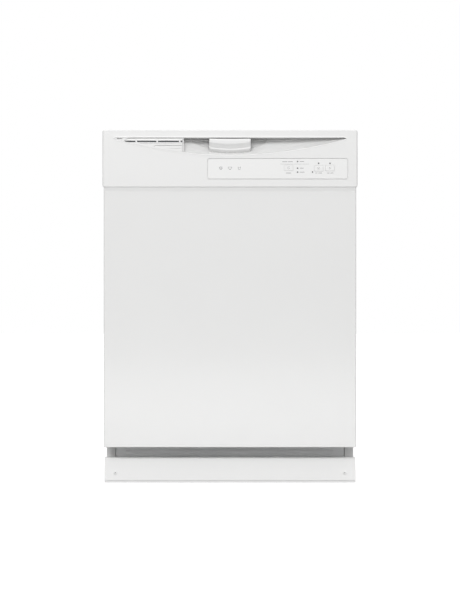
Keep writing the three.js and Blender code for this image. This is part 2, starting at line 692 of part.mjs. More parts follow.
function consoleMoulding() {
  const grow = POCKET.shell;
  const inside = [FRONT + 2, CONSOLE.back];
  const lining = join(pocketSolid(grow, inside), fingerHollow(grow, [-297, CONSOLE.back]));
  const scoop = pocketSolid(0, [FRONT - 3, FRONT + POCKET.depth]);
  const fingers = fingerHollow(0, [-297, CONSOLE.back - grow]);
  const divider = box([POCKET.divider - 2, POCKET.divider + 2], [FRONT + 0.5, -265], [780, 833])
    .intersect(pocketSolid(grow, [FRONT + 0.5, -265]));
  const lugs = boxPair(LATCH.lugs, [-298.6, -292], [819, 832]);
  const lugBore = cylinder('x', LATCH.pin + 0.4, [-60, 60], [LATCH.pivotY, LATCH.pivotZ], 12);
  const hookLugs = boxPair([8, 11], [-274, -266], [833, HEIGHT - 2]);
  const hookBore = cylinder('x', HOOK.pin + 0.4, [-30, 30], [HOOK.pivotY, HOOK.pivotZ], 12);
  const insetSeat = frontPrism(
    roundedRect([INSET.left, INSET.right], [INSET.low, INSET.high], INSET.corner),
    [FRONT - 1, FRONT + INSET.deep], 4,
  );
  const keyHoles = KEYS.map((key) => keyHole(key, [FRONT - 1, -290]));
  const lightHoles = LIGHTS.map((at) => cylinder('y', 1.9, [FRONT - 1, -295], at, 8));
  const body = cut(join(consoleShell(), lining), scoop, fingers);
  const fitted = join(body, divider, ...lugs, ...hookLugs);
  return cut(fitted, lugBore, hookBore, insetSeat, ...keyHoles, ...lightHoles);
}

// Louvres flush with the console's face, in the pocket's left end.
function ventGrille() {
  const y = [FRONT + 0.5, FRONT + 4.5];
  const outline = frontPrism(pocketOutline(-0.4), y, 8);
  const plate = outline.intersect(box([-290, POCKET.divider - 2.3], [-310, -290], [780, 840]));
  const slots = [
    [-262, 826, 3.4], [-248, 819.8, 3.6], [-218, 814.6, 2.4], [-183, 809, 2.4], [-148, 803.2, 2.2],
  ];
  const ribs = [-224, -174, -120];
  const rib = 1.6;
  const openings = slots.flatMap(([start, z, tall]) => {
    const stations = [start, ...ribs.filter((x) => x > start + 8)];
    return stations.slice(0, -1).map((x, i) => box(
      [x + (i === 0 ? 0 : rib), stations[i + 1] - rib], [-310, -295], [z - tall / 2, z + tall / 2],
    ));
  });
  return cut(plate, ...openings);
}

function controlInset() {
  const y = [FRONT + 0.2, FRONT + INSET.deep - GAP];
  const plate = frontPrism(
    roundedRect([INSET.left + 0.8, INSET.right - 0.8], [INSET.low + 0.8, INSET.high - 0.8], INSET.corner - 0.8),
    y, 4,
  );
  const keyHoles = KEYS.map((key) => keyHole(key, [FRONT - 1, -290]));
  const lightHoles = LIGHTS.map((at) => cylinder('y', 1.9, [FRONT - 1, -295], at, 8));
  return cut(plate, ...keyHoles, ...lightHoles);
}

function key([, x, z]) {
  const { half, tall, flange } = KEY;
  const cap = frontPrism(roundedRect([x - half, x + half], [z - tall, z + tall], 2), [FRONT + 0.1, -298.5], 3);
  const collar = box(
    [x - half - flange, x + half + flange], [-300.7, -298.5], [z - tall - flange, z + tall + flange],
  );
  return join(cap, collar);
}

function lightPipe() {
  const y = [-300.7, -298.5];
  const posts = LIGHTS.map((at) => cylinder('y', 1.5, [FRONT + 0.1, -299], at, 8));
  return join(
    box([158.5, 164.7], y, [744, 775]), box([158.5, 242], y, [766.4, 771]),
    box([158.5, 198.6], y, [744.2, 746.3]), ...posts,
  );
}

function controlBoard() {
  const board = box([60, 262], [-292.5, -291], [722, 776]);
  const switches = KEYS.map(([, x, z]) => box([x - 4, x + 4], [-296, -292], [z - 4, z + 4]));
  return join(board, ...switches, box([70, 110], [-291.5, -278], [730, 768]));
}

function latchHandle() {
  const { half, pivotY, pivotZ, pin, lugs } = LATCH;
  const top = 827.6;
  const outline = new THREE.Shape();
  outline.moveTo(-half, top).lineTo(-half, 806);
  outline.quadraticCurveTo(-half, 802.5, -half + 5, 801.8);
  outline.quadraticCurveTo(0, 796.8, half - 5, 801.8);
  outline.quadraticCurveTo(half, 802.5, half, 806).lineTo(half, top);
  const profile = polygon([
    [-304.5, top], [-304.5, 817], [-299.5, 795], [-295.5, 795], [-300.5, 817.5], [-300.5, top],
  ]);
  const paddle = frontPrism(outline, [-310, -290], 6).intersect(sidePrism(profile, [-60, 60]));
  const arms = boxPair([30, 34], [-301, pivotY + 3], [pivotZ - 3.5, top]);
  const pins = [-1, 1].map(
    (side) => cylinder('x', pin, spanX(side, 33, lugs[1] + 1), [pivotY, pivotZ], 12),
  );
  return join(paddle, ...arms, ...pins);
}

function latchHook() {
  const { half, pivotY, pivotZ, pin } = HOOK;
  const profile = polygon([
    [-277, 835.5], [-220, 835.5], [-220, 840.5], [-226, 840.5], [-226, 838.5], [-266, 838.5],
    [-266, 840], [-277, 840],
  ]);
  return join(
    sidePrism(profile, [-half, half]),
    cylinder('x', pin, [-12, 12], [pivotY, pivotZ], 12),
  );
}

add('console', consoleMoulding(), WHITE_PLASTIC);
add('vent_grille', ventGrille(), WHITE_PLASTIC);
add('control_inset', controlInset(), WHITE_PLASTIC);
for (const entry of KEYS) {
  add(entry[0], key(entry), WHITE_PLASTIC);
}
add('light_pipe', lightPipe(), LIGHT_LENS);
add('control_board', controlBoard(), CIRCUIT);
add('latch_handle', latchHandle(), WHITE_PLASTIC);
add('latch_hook', latchHook(), STEEL);

export default dishwasher;
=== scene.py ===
import math
import random

import bmesh
import bpy
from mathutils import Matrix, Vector
from mathutils.geometry import tessellate_polygon

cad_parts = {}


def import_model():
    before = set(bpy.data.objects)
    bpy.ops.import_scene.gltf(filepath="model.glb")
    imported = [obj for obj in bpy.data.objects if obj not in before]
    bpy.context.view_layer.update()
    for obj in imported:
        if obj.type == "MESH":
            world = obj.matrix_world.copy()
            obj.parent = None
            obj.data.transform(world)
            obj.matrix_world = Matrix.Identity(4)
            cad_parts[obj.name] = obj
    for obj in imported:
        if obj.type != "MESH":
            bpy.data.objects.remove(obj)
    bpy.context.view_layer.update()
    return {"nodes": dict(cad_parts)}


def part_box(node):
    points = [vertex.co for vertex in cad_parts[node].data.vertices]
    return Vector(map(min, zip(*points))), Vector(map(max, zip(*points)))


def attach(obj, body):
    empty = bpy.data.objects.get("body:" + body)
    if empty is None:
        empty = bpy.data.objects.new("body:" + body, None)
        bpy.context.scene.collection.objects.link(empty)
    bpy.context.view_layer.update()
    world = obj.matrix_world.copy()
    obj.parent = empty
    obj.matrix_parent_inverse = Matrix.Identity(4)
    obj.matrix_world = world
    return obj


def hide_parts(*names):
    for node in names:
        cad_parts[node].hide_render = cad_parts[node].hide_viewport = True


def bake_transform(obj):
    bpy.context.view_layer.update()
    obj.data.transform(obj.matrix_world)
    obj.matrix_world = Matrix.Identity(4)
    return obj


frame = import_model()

MM = 0.001
random.seed(24)


# ------------------------------------------------------------------ frame helpers
def box_mm(node):
    """Lowest and highest corner of a CAD node, in millimetres."""
    low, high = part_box(node)
    return Vector(low) / MM, Vector(high) / MM


def centre_of(node, first, second):
    """Middle of a CAD node along two of its axes, named by letter."""
    low, high = box_mm(node)
    return tuple((getattr(low, axis) + getattr(high, axis)) / 2 for axis in (first, second))


# ------------------------------------------------------------------ materials
def noise(nodes, links, scale, detail, roughness, stretch=(1, 1, 1)):
    """A noise texture in the piece's own coordinates, so it never slides."""
    where = nodes.new("ShaderNodeTexCoord")
    mapping = nodes.new("ShaderNodeMapping")
    mapping.inputs["Scale"].default_value = stretch
    texture = nodes.new("ShaderNodeTexNoise")
    texture.inputs["Scale"].default_value = scale
    texture.inputs["Detail"].default_value = detail
    texture.inputs["Roughness"].default_value = roughness
    links.new(where.outputs["Object"], mapping.inputs["Vector"])
    links.new(mapping.outputs["Vector"], texture.inputs["Vector"])
    return texture


def ramp(nodes, links, source, stops):
    """stops: [(position, colour)], colour a grey number or three numbers."""
    node = nodes.new("ShaderNodeValToRGB")
    elements = node.color_ramp.elements
    while len(elements) < len(stops):
        elements.new(0.5)
    for element, (position, colour) in zip(elements, stops):
        if not isinstance(colour, (tuple, list)):
            colour = (colour, colour, colour)
        element.position = position
        element.color = (*colour, 1.0)
    links.new(source, node.inputs["Fac"])
    return node.outputs["Color"]


def bump(nodes, links, shader, heights):
    """heights: [(socket, strength, distance in metres)], stacked from coarse to fine."""
    previous = None
    for height, strength, distance in heights:
        node = nodes.new("ShaderNodeBump")
        node.inputs["Strength"].default_value = strength
        node.inputs["Distance"].default_value = distance
        links.new(height, node.inputs["Height"])
        if previous is not None:
            links.new(previous, node.inputs["Normal"])
        previous = node.outputs["Normal"]
    links.new(previous, shader.inputs["Normal"])


def tint(colour, factor):
    """A colour times a factor, held at 1."""
    return tuple(min(1.0, c * factor) for c in colour)


ROUGH_VARY = 0.06      # swing of roughness either side of its value
DRIFT_SCALE = 7.0      # cycles per metre of the slow change of tone
COAT_ROUGHNESS = 0.12


def surface(name, colour, rough, grain, grain_depth, wave=0.0, wave_depth=0.0,
            vary=0.02, metal=0.0, coat=0.0, stretch=(1, 1, 1), sheen=0.0):
    """A moulded, painted or metal surface: tone drifts slowly, gloss varies with a fine grain in relief."""
    material = bpy.data.materials.new(name)
    material.use_nodes = True
    nodes, links = material.node_tree.nodes, material.node_tree.links
    shader = nodes["Principled BSDF"]
    drift = noise(nodes, links, DRIFT_SCALE, 4.0, 0.6)
    fine = noise(nodes, links, grain, 2.0, 0.5, stretch)
    tone = ramp(nodes, links, drift.outputs["Fac"],
                [(0.25, tint(colour, 1 - vary)), (0.75, tint(colour, 1 + vary))])
    links.new(tone, shader.inputs["Base Color"])
    gloss = ramp(nodes, links, fine.outputs["Fac"],
                 [(0.3, max(0.02, rough - ROUGH_VARY)), (0.7, min(1.0, rough + ROUGH_VARY))])
    links.new(gloss, shader.inputs["Roughness"])
    heights = [(fine.outputs["Fac"], 0.6, grain_depth)]
    if wave_depth:
        slow = noise(nodes, links, wave, 2.0, 0.5)
        heights.insert(0, (slow.outputs["Fac"], 0.5, wave_depth))
    bump(nodes, links, shader, heights)
    for socket, value in (("Metallic", metal), ("Specular IOR Level", 0.5), ("Coat Weight", coat),
                          ("Coat Roughness", COAT_ROUGHNESS), ("Sheen Weight", sheen)):
        shader.inputs[socket].default_value = value
    return material


MOULDED_WHITE = surface("moulded_white", (0.745, 0.745, 0.74), 0.36, 1400.0, 0.00003, vary=0.008)
INSET_WHITE = surface("inset_white", (0.765, 0.765, 0.76), 0.42, 1800.0, 0.00002, vary=0.005)
GLOSSY_PAINT = dict(rough=0.22, grain=2200.0, grain_depth=0.00001, wave=160.0, wave_depth=0.00012,
                    vary=0.006, coat=0.35)
ENAMEL = surface("white_enamel", (0.765, 0.765, 0.76), **GLOSSY_PAINT)
# The door's white enamel made brighter for the kick panel and its screw heads: painted light that lifts the
# shade under the door's overhang.
TOE_ENAMEL_PAINTED_LIGHT = surface("toe_enamel_painted_light", (0.86, 0.86, 0.855), **GLOSSY_PAINT)
TUB_GREY = surface("tub_grey", (0.50, 0.52, 0.53), 0.42, 1100.0, 0.00005, vary=0.03)
ARM_GREY = surface("arm_grey", (0.40, 0.42, 0.44), 0.45, 1200.0, 0.00005, vary=0.03)
PALE_GREY = surface("pale_grey", (0.62, 0.64, 0.65), 0.4, 1200.0, 0.00004, vary=0.02)
DARK_MOULDED = surface("dark_moulded", (0.055, 0.06, 0.065), 0.5, 1000.0, 0.00006, vary=0.08)
BAFFLE = surface("toe_baffle", (0.86, 0.862, 0.865), 0.6, 800.0, 0.00006, vary=0.05)
LENS = surface("smoked_lens", (0.07, 0.072, 0.075), 0.18, 3000.0, 0.00001, vary=0.04, coat=0.5)
INK = surface("grey_ink", (0.13, 0.13, 0.14), 0.6, 4000.0, 0.00001, vary=0.05)
STAINLESS = surface("stainless", (0.62, 0.62, 0.62), 0.24, 500.0, 0.00002, vary=0.05, metal=1.0,
                    stretch=(1, 12, 12))
ZINC = surface("galvanised", (0.58, 0.595, 0.61), 0.5, 160.0, 0.00002, vary=0.05, metal=0.7)
FLANGE_WHITE = surface("flange_white", (0.74, 0.74, 0.735), 0.4, 1400.0, 0.00003, vary=0.01)
RUBBER = surface("gasket_rubber", (0.045, 0.046, 0.05), 0.72, 1600.0, 0.00008, vary=0.12)
NYLON = surface("rack_nylon", (0.60, 0.62, 0.64), 0.38, 1500.0, 0.00003, vary=0.04)
COPPER_GREEN = surface("circuit_green", (0.03, 0.16, 0.09), 0.45, 600.0, 0.00003, vary=0.12)
FIBRE = surface("fibre_blanket", (0.20, 0.20, 0.21), 0.9, 420.0, 0.0006, wave=70.0, wave_depth=0.0015,
                vary=0.22, sheen=0.3, stretch=(1, 5, 1))
HEATER_STEEL = surface("heater_steel", (0.33, 0.31, 0.29), 0.36, 300.0, 0.00004, vary=0.16, metal=0.9)


# ------------------------------------------------------------------ mesh making
class Skin:
    """Vertices and faces of one piece while it is being made, in millimetres."""

    def __init__(self):
        self.points = []
        self.faces = []

    def ring(self, points):
        start = len(self.points)
        self.points.extend(Vector(p) for p in points)
        return list(range(start, len(self.points)))

    def bridge(self, a, b, closed=True):
        count = len(a)
        for i in range(count if closed else count - 1):
            j = (i + 1) % count
            self.faces.append((a[i], a[j], b[j], b[i]))

    def chain(self, rings, closed=True):
        """Rings of vertex numbers, each bridged to the next."""
        for a, b in zip(rings, rings[1:]):
            self.bridge(a, b, closed)
        return rings

    def fill(self, outer, holes=()):
        """A flat face between rings of vertex numbers."""
        loops = [outer, *holes]
        flat = [index for loop in loops for index in loop]
        for triangle in tessellate_polygon([[self.points[i] for i in loop] for loop in loops]):
            self.faces.append(tuple(flat[i] for i in triangle))

    def loft(self, rings, cap_end=True):
        """Closed rings of points joined one after the other."""
        made = self.chain([self.ring(points) for points in rings])
        self.fill(made[0])
        if cap_end:
            self.fill(made[-1])
        return made

    def make(self, name, material, body, replaces=(), sharp=40.0, weld=0.002):
        """The finished piece. Its CAD body may be None; sharp is in degrees, weld in millimetres."""
        mesh = bpy.data.meshes.new(name)
        mesh.from_pydata([p * MM for p in self.points], [], self.faces)
        model = bmesh.new()
        model.from_mesh(mesh)
        bmesh.ops.remove_doubles(model, verts=model.verts, dist=weld * MM)
        bmesh.ops.recalc_face_normals(model, faces=model.faces)
        model.to_mesh(mesh)
        model.free()
        piece = bpy.data.objects.new(name, mesh)
        bpy.context.scene.collection.objects.link(piece)
        return dress(piece, material, body, replaces, sharp)


def dress(piece, material, body, replaces, sharp):
    """Material, smooth shading with crisp corners, and the ride on a CAD body, if it has one."""
    piece.data.materials.append(material)
    piece.data.polygons.foreach_set("use_smooth", [True] * len(piece.data.polygons))
    piece.data.set_sharp_from_angle(angle=math.radians(sharp))
    normals = piece.modifiers.new("weighted_normals", "WEIGHTED_NORMAL")
    normals.keep_sharp = True
    normals.weight = 80
    if body is not None:
        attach(piece, body)
    if replaces:
        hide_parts(*replaces)
    return piece


def rounded_outline(a0, a1, b0, b1, radius, steps=6):
    """Corner-rounded rectangle as (a, b) pairs, starting at the low-left corner's end."""
    points = []
    corners = [(a1 - radius, b0 + radius, -90), (a1 - radius, b1 - radius, 0),
               (a0 + radius, b1 - radius, 90), (a0 + radius, b0 + radius, 180)]
    for ca, cb, start in corners:
        for i in range(steps + 1):
            angle = math.radians(start + 90 * i / steps)
            points.append((ca + radius * math.cos(angle), cb + radius * math.sin(angle)))
    return points


def grown(outline, amount):
    """A closed (a, b) outline moved outwards by amount; it must run anticlockwise."""
    count = len(outline)
    points = []
    for i, (a, b) in enumerate(outline):
        before, after = Vector(outline[i - 1]), Vector(outline[(i + 1) % count])
        along = (after - before).normalized()
        points.append((a + along.y * amount, b - along.x * amount))
    return points


def facing_front(outline, y):
    """An (x, z) outline set upright at a depth y."""
    return [(x, y, z) for x, z in outline]


def smoothstep(low, high, value):
    """Eases from 0 at low to 1 at high."""
    t = min(1.0, max(0.0, (value - low) / (high - low)))
    return t * t * (3 - 2 * t)


def strip_box(skin, x0, x1, y0, y1, z0, z1):
    """A small box inside a larger piece, such as a rib or a print mark."""
    rings = [facing_front([(x0, z0), (x1, z0), (x1, z1), (x0, z1)], y) for y in (y0, y1)]
    skin.loft(rings)


# ------------------------------------------------------------------ console
CON_LOW, CON_HIGH = box_mm("console")
CON_FRONT = CON_LOW.y
POCKET_TOP = CON_HIGH.z - 19.0
POCKET_LOW = CON_HIGH.z - 60.2   # lowest point of the curved lower lip
POCKET_RADIUS = 1025.0           # of the lower lip, seen from in front
POCKET_TIP = 279.0               # half length to the tips
POCKET_FLAT = 274.0              # half length of the straight upper lip
TIP_SLOPE = 0.55                 # fall of the upper lip past that
POCKET_TALL = 43.0               # height at which the scoop reaches its full depth
POCKET_DEPTH = 35.0
HOLLOW_DEPTH = 4.0               # how much deeper the scoop is behind the fingers
FINGER_HALF = 93.0
FINGER_TALL = 28.0
DENSE_HALF = 112.0               # half length of the stretch with close stations
VENT_RIGHT = -111.0
RIM_BEAD = 0.35
RIM_WIDTH = 3.0
INSET_BEHIND = 0.1               # how far the inset lies behind the console's face
INSET_LOW, INSET_HIGH = box_mm("control_inset")


def pocket_floor(x):
    """Height of the pocket's curved lower lip at x."""
    return POCKET_LOW + POCKET_RADIUS - math.sqrt(POCKET_RADIUS ** 2 - x * x)


def pocket_ceiling(x):
    """Height of the pocket's upper lip at x."""
    past = max(0.0, abs(x) - POCKET_FLAT)
    return POCKET_TOP - past * TIP_SLOPE


def pocket_stations():
    """X stations along the pocket, close together at the tips and over the finger hollow."""
    stations = [-POCKET_TIP, -278.0, -276.5, -274.0]
    x = -270.0
    while x < 270.0:
        stations.append(x)
        x += 2.5 if abs(x) < DENSE_HALF else 6.0
    return stations + [270.0, 274.0, 276.5, 278.0, POCKET_TIP]


def pocket_section(x, steps=34):
    """Points (y, z) from the lower lip, over the scoop and the bead near its top, to the upper lip."""
    bead_below, bead_half, bead_proud = 3.2, 1.1, 2.6
    low, top = pocket_floor(x), pocket_ceiling(x)
    tall = max(0.6, top - low)
    deep = POCKET_DEPTH * min(1.0, tall / POCKET_TALL) ** 0.5
    points = []
    for i in range(steps + 1):
        t = math.pi / 2 * i / steps
        z = low + tall * (1 - math.cos(t))
        y = CON_FRONT + deep * (0.8 * math.sin(t) + 0.2 * (1 - math.cos(t)))
        inside = 1 - (x / FINGER_HALF) ** 2 - ((z - POCKET_TOP) / FINGER_TALL) ** 2
        y += HOLLOW_DEPTH * smoothstep(0.0, 0.16, inside)
        bead = math.exp(-((top - z - bead_below) / bead_half) ** 2)
        points.append((y - bead_proud * bead * min(1.0, tall / 20), z))
    back = points[-1][0]
    for share in (0.75, 0.5, 0.25, 0.0):
        points.append((CON_FRONT + (back - CON_FRONT) * share, top))
    return points


def console():
    """The moulding's shell with its pocket and the seat of the inset, and the pocket's divider."""
    skin = Skin()
    # Outer shell: from the back edge, along the walls, round the front edge on to the face.
    half, low, high = CON_HIGH.x, CON_LOW.z, CON_HIGH.z
    corner, corner_loss = 5.0, 2.5
    round_over = 4.7
    side_edge, upper_edge, lower_edge = 3.6, 1.6, 0.9
    fullness = 1.3
    outer = rounded_outline(-half, half, low, high, corner)
    rings = [facing_front(outer, CON_HIGH.y), facing_front(outer, CON_FRONT + round_over + 0.4)]
    steps = 8
    for i in range(steps + 1):
        back_share = (1 - i / steps) ** fullness
        share = 1 - math.sqrt(1 - (1 - back_share) ** 2)
        outline = rounded_outline(-half + side_edge * share, half - side_edge * share,
                                  low + lower_edge * share, high - upper_edge * share,
                                  corner - corner_loss * share)
        rings.append(facing_front(outline, CON_FRONT + round_over * back_share))
    face_ring = skin.loft(rings, cap_end=False)[-1]
    # Pocket rim: a low bead all round the pocket's mouth.
    stations = pocket_stations()
    lower = [(x, pocket_floor(x)) for x in stations]
    upper = [(x, pocket_ceiling(x)) for x in reversed(stations)]
    bead = [(1.0, 0.0), (0.75, 0.55), (0.45, 1.0), (0.2, 0.75)]
    rim_rings = [skin.ring(facing_front(grown(lower + upper, RIM_WIDTH * out), CON_FRONT - RIM_BEAD * rise))
                 for out, rise in bead]
    columns = [skin.ring([(x, y, z) for y, z in pocket_section(x)]) for x in stations]
    skin.chain(columns, closed=False)
    for column in (columns[0], columns[-1]):
        skin.fill(column)
    mouth_ring = [column[0] for column in columns] + [column[-1] for column in reversed(columns)]
    skin.chain([*rim_rings, mouth_ring])
    # Seat of the control inset: a groove shows all round it.
    groove, seat_corner = 0.9, 5.5
    seat = rounded_outline(INSET_LOW.x - groove, INSET_HIGH.x + groove,
                           INSET_LOW.z - groove, INSET_HIGH.z + groove, seat_corner)
    seat_rings = skin.chain([skin.ring(facing_front(seat, CON_FRONT + deep)) for deep in (0.0, 0.4, 2.2)])
    skin.fill(seat_rings[-1])
    skin.fill(face_ring, [rim_rings[0], seat_rings[0]])
    # Divider between the vent duct and the hand pocket.
    divider = Skin()
    divider.loft([[(x, max(y, CON_FRONT + 0.6), z) for y, z in pocket_section(x)]
                  for x in (VENT_RIGHT - 1.6, VENT_RIGHT + 0.2)])
    divider.make("pocket_divider", MOULDED_WHITE, "door")
    skin.make("console_shell", MOULDED_WHITE, "door", ["console"], sharp=32)


console()


def vent_grille():
    """Louvres nearly flush with the console's face: a long slot behind a blade, then thin grooves."""
    front, back = CON_FRONT + 0.3, box_mm("vent_grille")[1].y
    right = VENT_RIGHT - 2.2
    groove_end = right - 0.8
    shift = CON_HIGH.z - 848.0
    slot_low, slot_start, slot_rise = 818.5 + shift, -254.0, 0.4
    margin = 0.35
    stations = [x for x in pocket_stations() if x < right - 2] + [right]
    lower = [(x, pocket_floor(x) + margin) for x in stations]
    upper = [(x, pocket_ceiling(x) - margin) for x in reversed(stations)]
    slot = [x for x in stations if slot_start < x < right - 3] + [groove_end]
    mouth = [(x, max(slot_low, pocket_floor(x) + 1.3)) for x in slot]
    mouth += [(x, min(pocket_ceiling(x) - 0.9, 823.5 + shift + (x - slot_start) * slot_rise))
              for x in reversed(slot)]
    skin = Skin()
    edge = [skin.ring(facing_front(lower + upper, y)) for y in (front, back)]
    skin.bridge(*edge)
    rings = skin.chain([skin.ring(facing_front(grown(mouth, grow), y))
                        for grow, y in ((0.35, front), (0.0, front + 0.5), (0.0, back))])
    # Grooves: left end, right end, height, how tall and how deep.
    grooves = []
    for start, end, z, tall, deep in (
            (-271.0, -257.0, 826.8, 1.8, 4.0), (-216.0, groove_end, 815.6, 1.8, 1.4),
            (-181.0, groove_end, 809.2, 4.2, 2.8), (-146.0, groove_end, 802.8, 1.8, 1.2)):
        z0, z1 = z + shift - tall / 2, z + shift + tall / 2
        wide = rounded_outline(start, end, z0, z1, tall / 2.2, 4)
        loops = skin.chain([
            skin.ring(facing_front(wide, front)),
            skin.ring([(x, front + deep, z0 + (b - z0) * 0.72 + 0.5) for x, b in wide])])
        skin.fill(loops[1])
        grooves.append(loops[0])
    skin.fill(edge[0], [rings[0], *grooves])
    skin.fill(edge[1], [rings[2]])
    # The slanted blade over the slot, and the posts that carry it.
    blade_start = -258.0
    rows = []
    for x in [x for x in stations if x > blade_start]:
        top = pocket_ceiling(x) - 0.3
        bottom = max(822.2 + shift, pocket_floor(x) + 3.2)
        rows.append([(x, front + 1.2, bottom), (x, front + 1.0, bottom + 0.7), (x, front + 2.6, top),
                     (x, front + 4.2, top), (x, front + 2.8, bottom)])
    skin.loft(rows)
    post_half, post_deep = 1.9, 3.0
    for x in (-224.0, -174.0, -120.0):
        section = [(x - post_half, front), (x + post_half, front),
                   (x + post_half, front + post_deep), (x - post_half, front + post_deep)]
        skin.loft([[(a, b, z) for a, b in section] for z in (slot_low - 0.5, 826.0 + shift)])
    skin.make("vent_louvres", MOULDED_WHITE, "door", ["vent_grille"], sharp=35)
    # A dark sheet behind the grille as painted shade: it darkens the slot, where there is only shade behind
    # the louvres.
    shade_sheet = Skin()
    shade_sheet.loft([facing_front(grown(lower + upper, -1.2), y) for y in (back + 0.4, back + 1.4)])
    shade_sheet.make("vent_painted_shade_sheet", DARK_MOULDED, "door", sharp=35)


vent_grille()


def latch_handle():
    """The sprung paddle: an upper facet, a crease, a facet leaning back, a lip and a skirt behind it."""
    low, high = box_mm("latch_handle")
    half, top, front = 50.0, high.z - 0.6, low.y
    corner_radius = 5.0
    lip_drop, lip_bow = 27.0, 4.4
    crease_drop, crease_bow = 12.8, 4.6
    end_width, end_push = 2.0, 1.6
    skin = Skin()
    stations = [-half + 0.2, -half + 0.8, -half + 2, -half + 4, -half + 7]
    stations += [-half + 7 + (2 * half - 14) * i / 30 for i in range(1, 30)]
    stations += [-x for x in reversed(stations[:5])]
    rings = []
    for x in stations:
        share = x / half
        corner = max(0.0, abs(x) - half + corner_radius)
        lift = corner_radius - math.sqrt(max(0.0, corner_radius ** 2 - corner * corner))
        bottom = top - lip_drop + lip_bow * share * share + lift
        crease = top - crease_drop + crease_bow * share * share
        push = smoothstep(half - end_width, half, abs(x)) * end_push
        outline = [
            (front + 1.6 + push, top), (front + 0.5 + push, top - 0.4), (front + push, top - 1.4),
            (front + push, (top + crease) / 2), (front + push, crease + 0.8),
            (front + 0.25 + push, crease - 0.6), (front + 2.0 + push, crease - 4.0),
            (front + 5.0, bottom + 3.4), (front + 5.2, bottom + 2.2),
            (front + 4.6, bottom + 1.4), (front + 4.4, bottom + 0.7), (front + 4.9, bottom - 0.4),
            (front + 6.0, bottom - 3.0), (front + 10.0, bottom - 5.6), (front + 16.0, bottom - 8.0),
            (front + 16.6, bottom - 6.8), (front + 9.4, bottom + 1.2),
            (front + 5.2, crease - 3.5), (front + 3.8, crease), (front + 3.8, top - 1.0), (front + 3.0, top),
        ]
        rings.append([(x, y, z) for y, z in outline])
    skin.loft(rings)
    for side in (-1, 1):
        x0, x1 = sorted((side * 30.0, side * 34.0))
        strip_box(skin, x0, x1, front + 3.5, front + 12, top - 6, top - 0.3)
    skin.make("latch_paddle", MOULDED_WHITE, "latch_handle", ["latch_handle"], sharp=50)


latch_handle()


# ------------------------------------------------------------------ control inset, keys, lights, print
KEY_NODES = ("key_cycle", "key_heated_dry", "key_start")
KEY_HALF, KEY_TALL, KEY_CORNER = 10.7, 7.0, 2.2
# Middle of each indicator light, (x, z).
LIGHTS = [(161.6, 772.2), (161.6, 756.2), (161.6, 746.6), (197.4, 747.1), (212.0, 767.9), (239.0, 767.9)]


def key_outline(node, grow):
    """The key's outline, grown outwards in millimetres."""
    x, z = centre_of(node, "x", "z")
    return rounded_outline(x - KEY_HALF - grow, x + KEY_HALF + grow,
                           z - KEY_TALL - grow, z + KEY_TALL + grow, KEY_CORNER + grow)


def disc(x, z, radius, y, count=20):
    """A ring of points round (x, z), facing front."""
    angles = [2 * math.pi * i / count for i in range(count)]
    return [(x + radius * math.cos(angle), y, z + radius * math.sin(angle)) for angle in angles]


def control_inset():
    """The flat plate, with an opening for each key and each light."""
    front = CON_FRONT + INSET_BEHIND
    low, high = INSET_LOW, INSET_HIGH
    skin = Skin()
    rings = []
    for shrink, deep in ((0.0, 1.8), (0.0, 0.5), (0.15, 0.15), (0.5, 0.0)):
        shape = rounded_outline(low.x + shrink, high.x - shrink, low.z + shrink, high.z - shrink, 4.2)
        rings.append(facing_front(shape, front + deep))
    face_ring = skin.loft(rings, cap_end=False)[-1]
    holes = []
    for node in KEY_NODES:
        loops = [skin.ring(facing_front(key_outline(node, grow), front + deep))
                 for grow, deep in ((0.35, 0.0), (0.2, 0.3), (0.2, 1.2))]
        holes.append(skin.chain(loops)[0])
    for x, z in LIGHTS:
        loops = [skin.ring(disc(x, z, radius, front + deep))
                 for radius, deep in ((2.0, 0.0), (1.75, 0.25), (1.75, 1.2))]
        holes.append(skin.chain(loops)[0])
    skin.fill(face_ring, holes)
    skin.make("inset_plate", INSET_WHITE, "door", ["control_inset"], sharp=35)


def key_cap(node):
    """A key with softly rounded edges."""
    front = CON_FRONT + 0.05
    skin = Skin()
    skin.loft([facing_front(key_outline(node, -shrink), front + deep)
               for shrink, deep in ((0.0, 5.0), (0.0, 0.5), (0.12, 0.18), (0.45, 0.0), (1.6, -0.08))])
    skin.make(node + "_cap", INSET_WHITE, node, [node], sharp=50)


def light_lenses():
    """The domed indicator lenses and the bar behind them."""
    front = CON_FRONT + 0.05
    skin = Skin()
    for x, z in LIGHTS:
        skin.loft([disc(x, z, radius, front + deep) for radius, deep in
                   ((1.5, 4.0), (1.5, 0.3), (1.35, 0.05), (0.9, -0.12), (0.3, -0.18))])
    back = box_mm("light_pipe")[1].y
    strip_box(skin, 158.5, 242.0, back - 2.2, back, 766.4, 771.0)  # the bar that joins the light posts
    skin.make("indicator_lenses", LENS, "door", ["light_pipe"], sharp=50)


control_inset()
for key_node in KEY_NODES:
    key_cap(key_node)
light_lenses()


def bar(skin, x0, z0, x1, z1, width, front, proud):
    """A straight printed stroke between two points on the panel."""
    along = Vector((x1 - x0, z1 - z0)).normalized() * (width / 2)
    side = Vector((-along.y, along.x))
    a, b = Vector((x0, z0)) - along * 0.4, Vector((x1, z1)) + along * 0.4
    corners = [a - side, b - side, b + side, a + side]
    skin.loft([[(p.x, y, p.y) for p in corners] for y in (front - proud, front + 0.05)])


def arc(skin, x, z, radius, start, sweep, count, width, front, proud):
    """A printed arc made of short strokes; start and sweep are in degrees."""
    for i in range(count):
        a0, a1 = (math.radians(start + sweep * k / count) for k in (i, i + 1))
        bar(skin, x + radius * math.cos(a0), z + radius * math.sin(a0),
            x + radius * math.cos(a1), z + radius * math.sin(a1), width, front, proud)


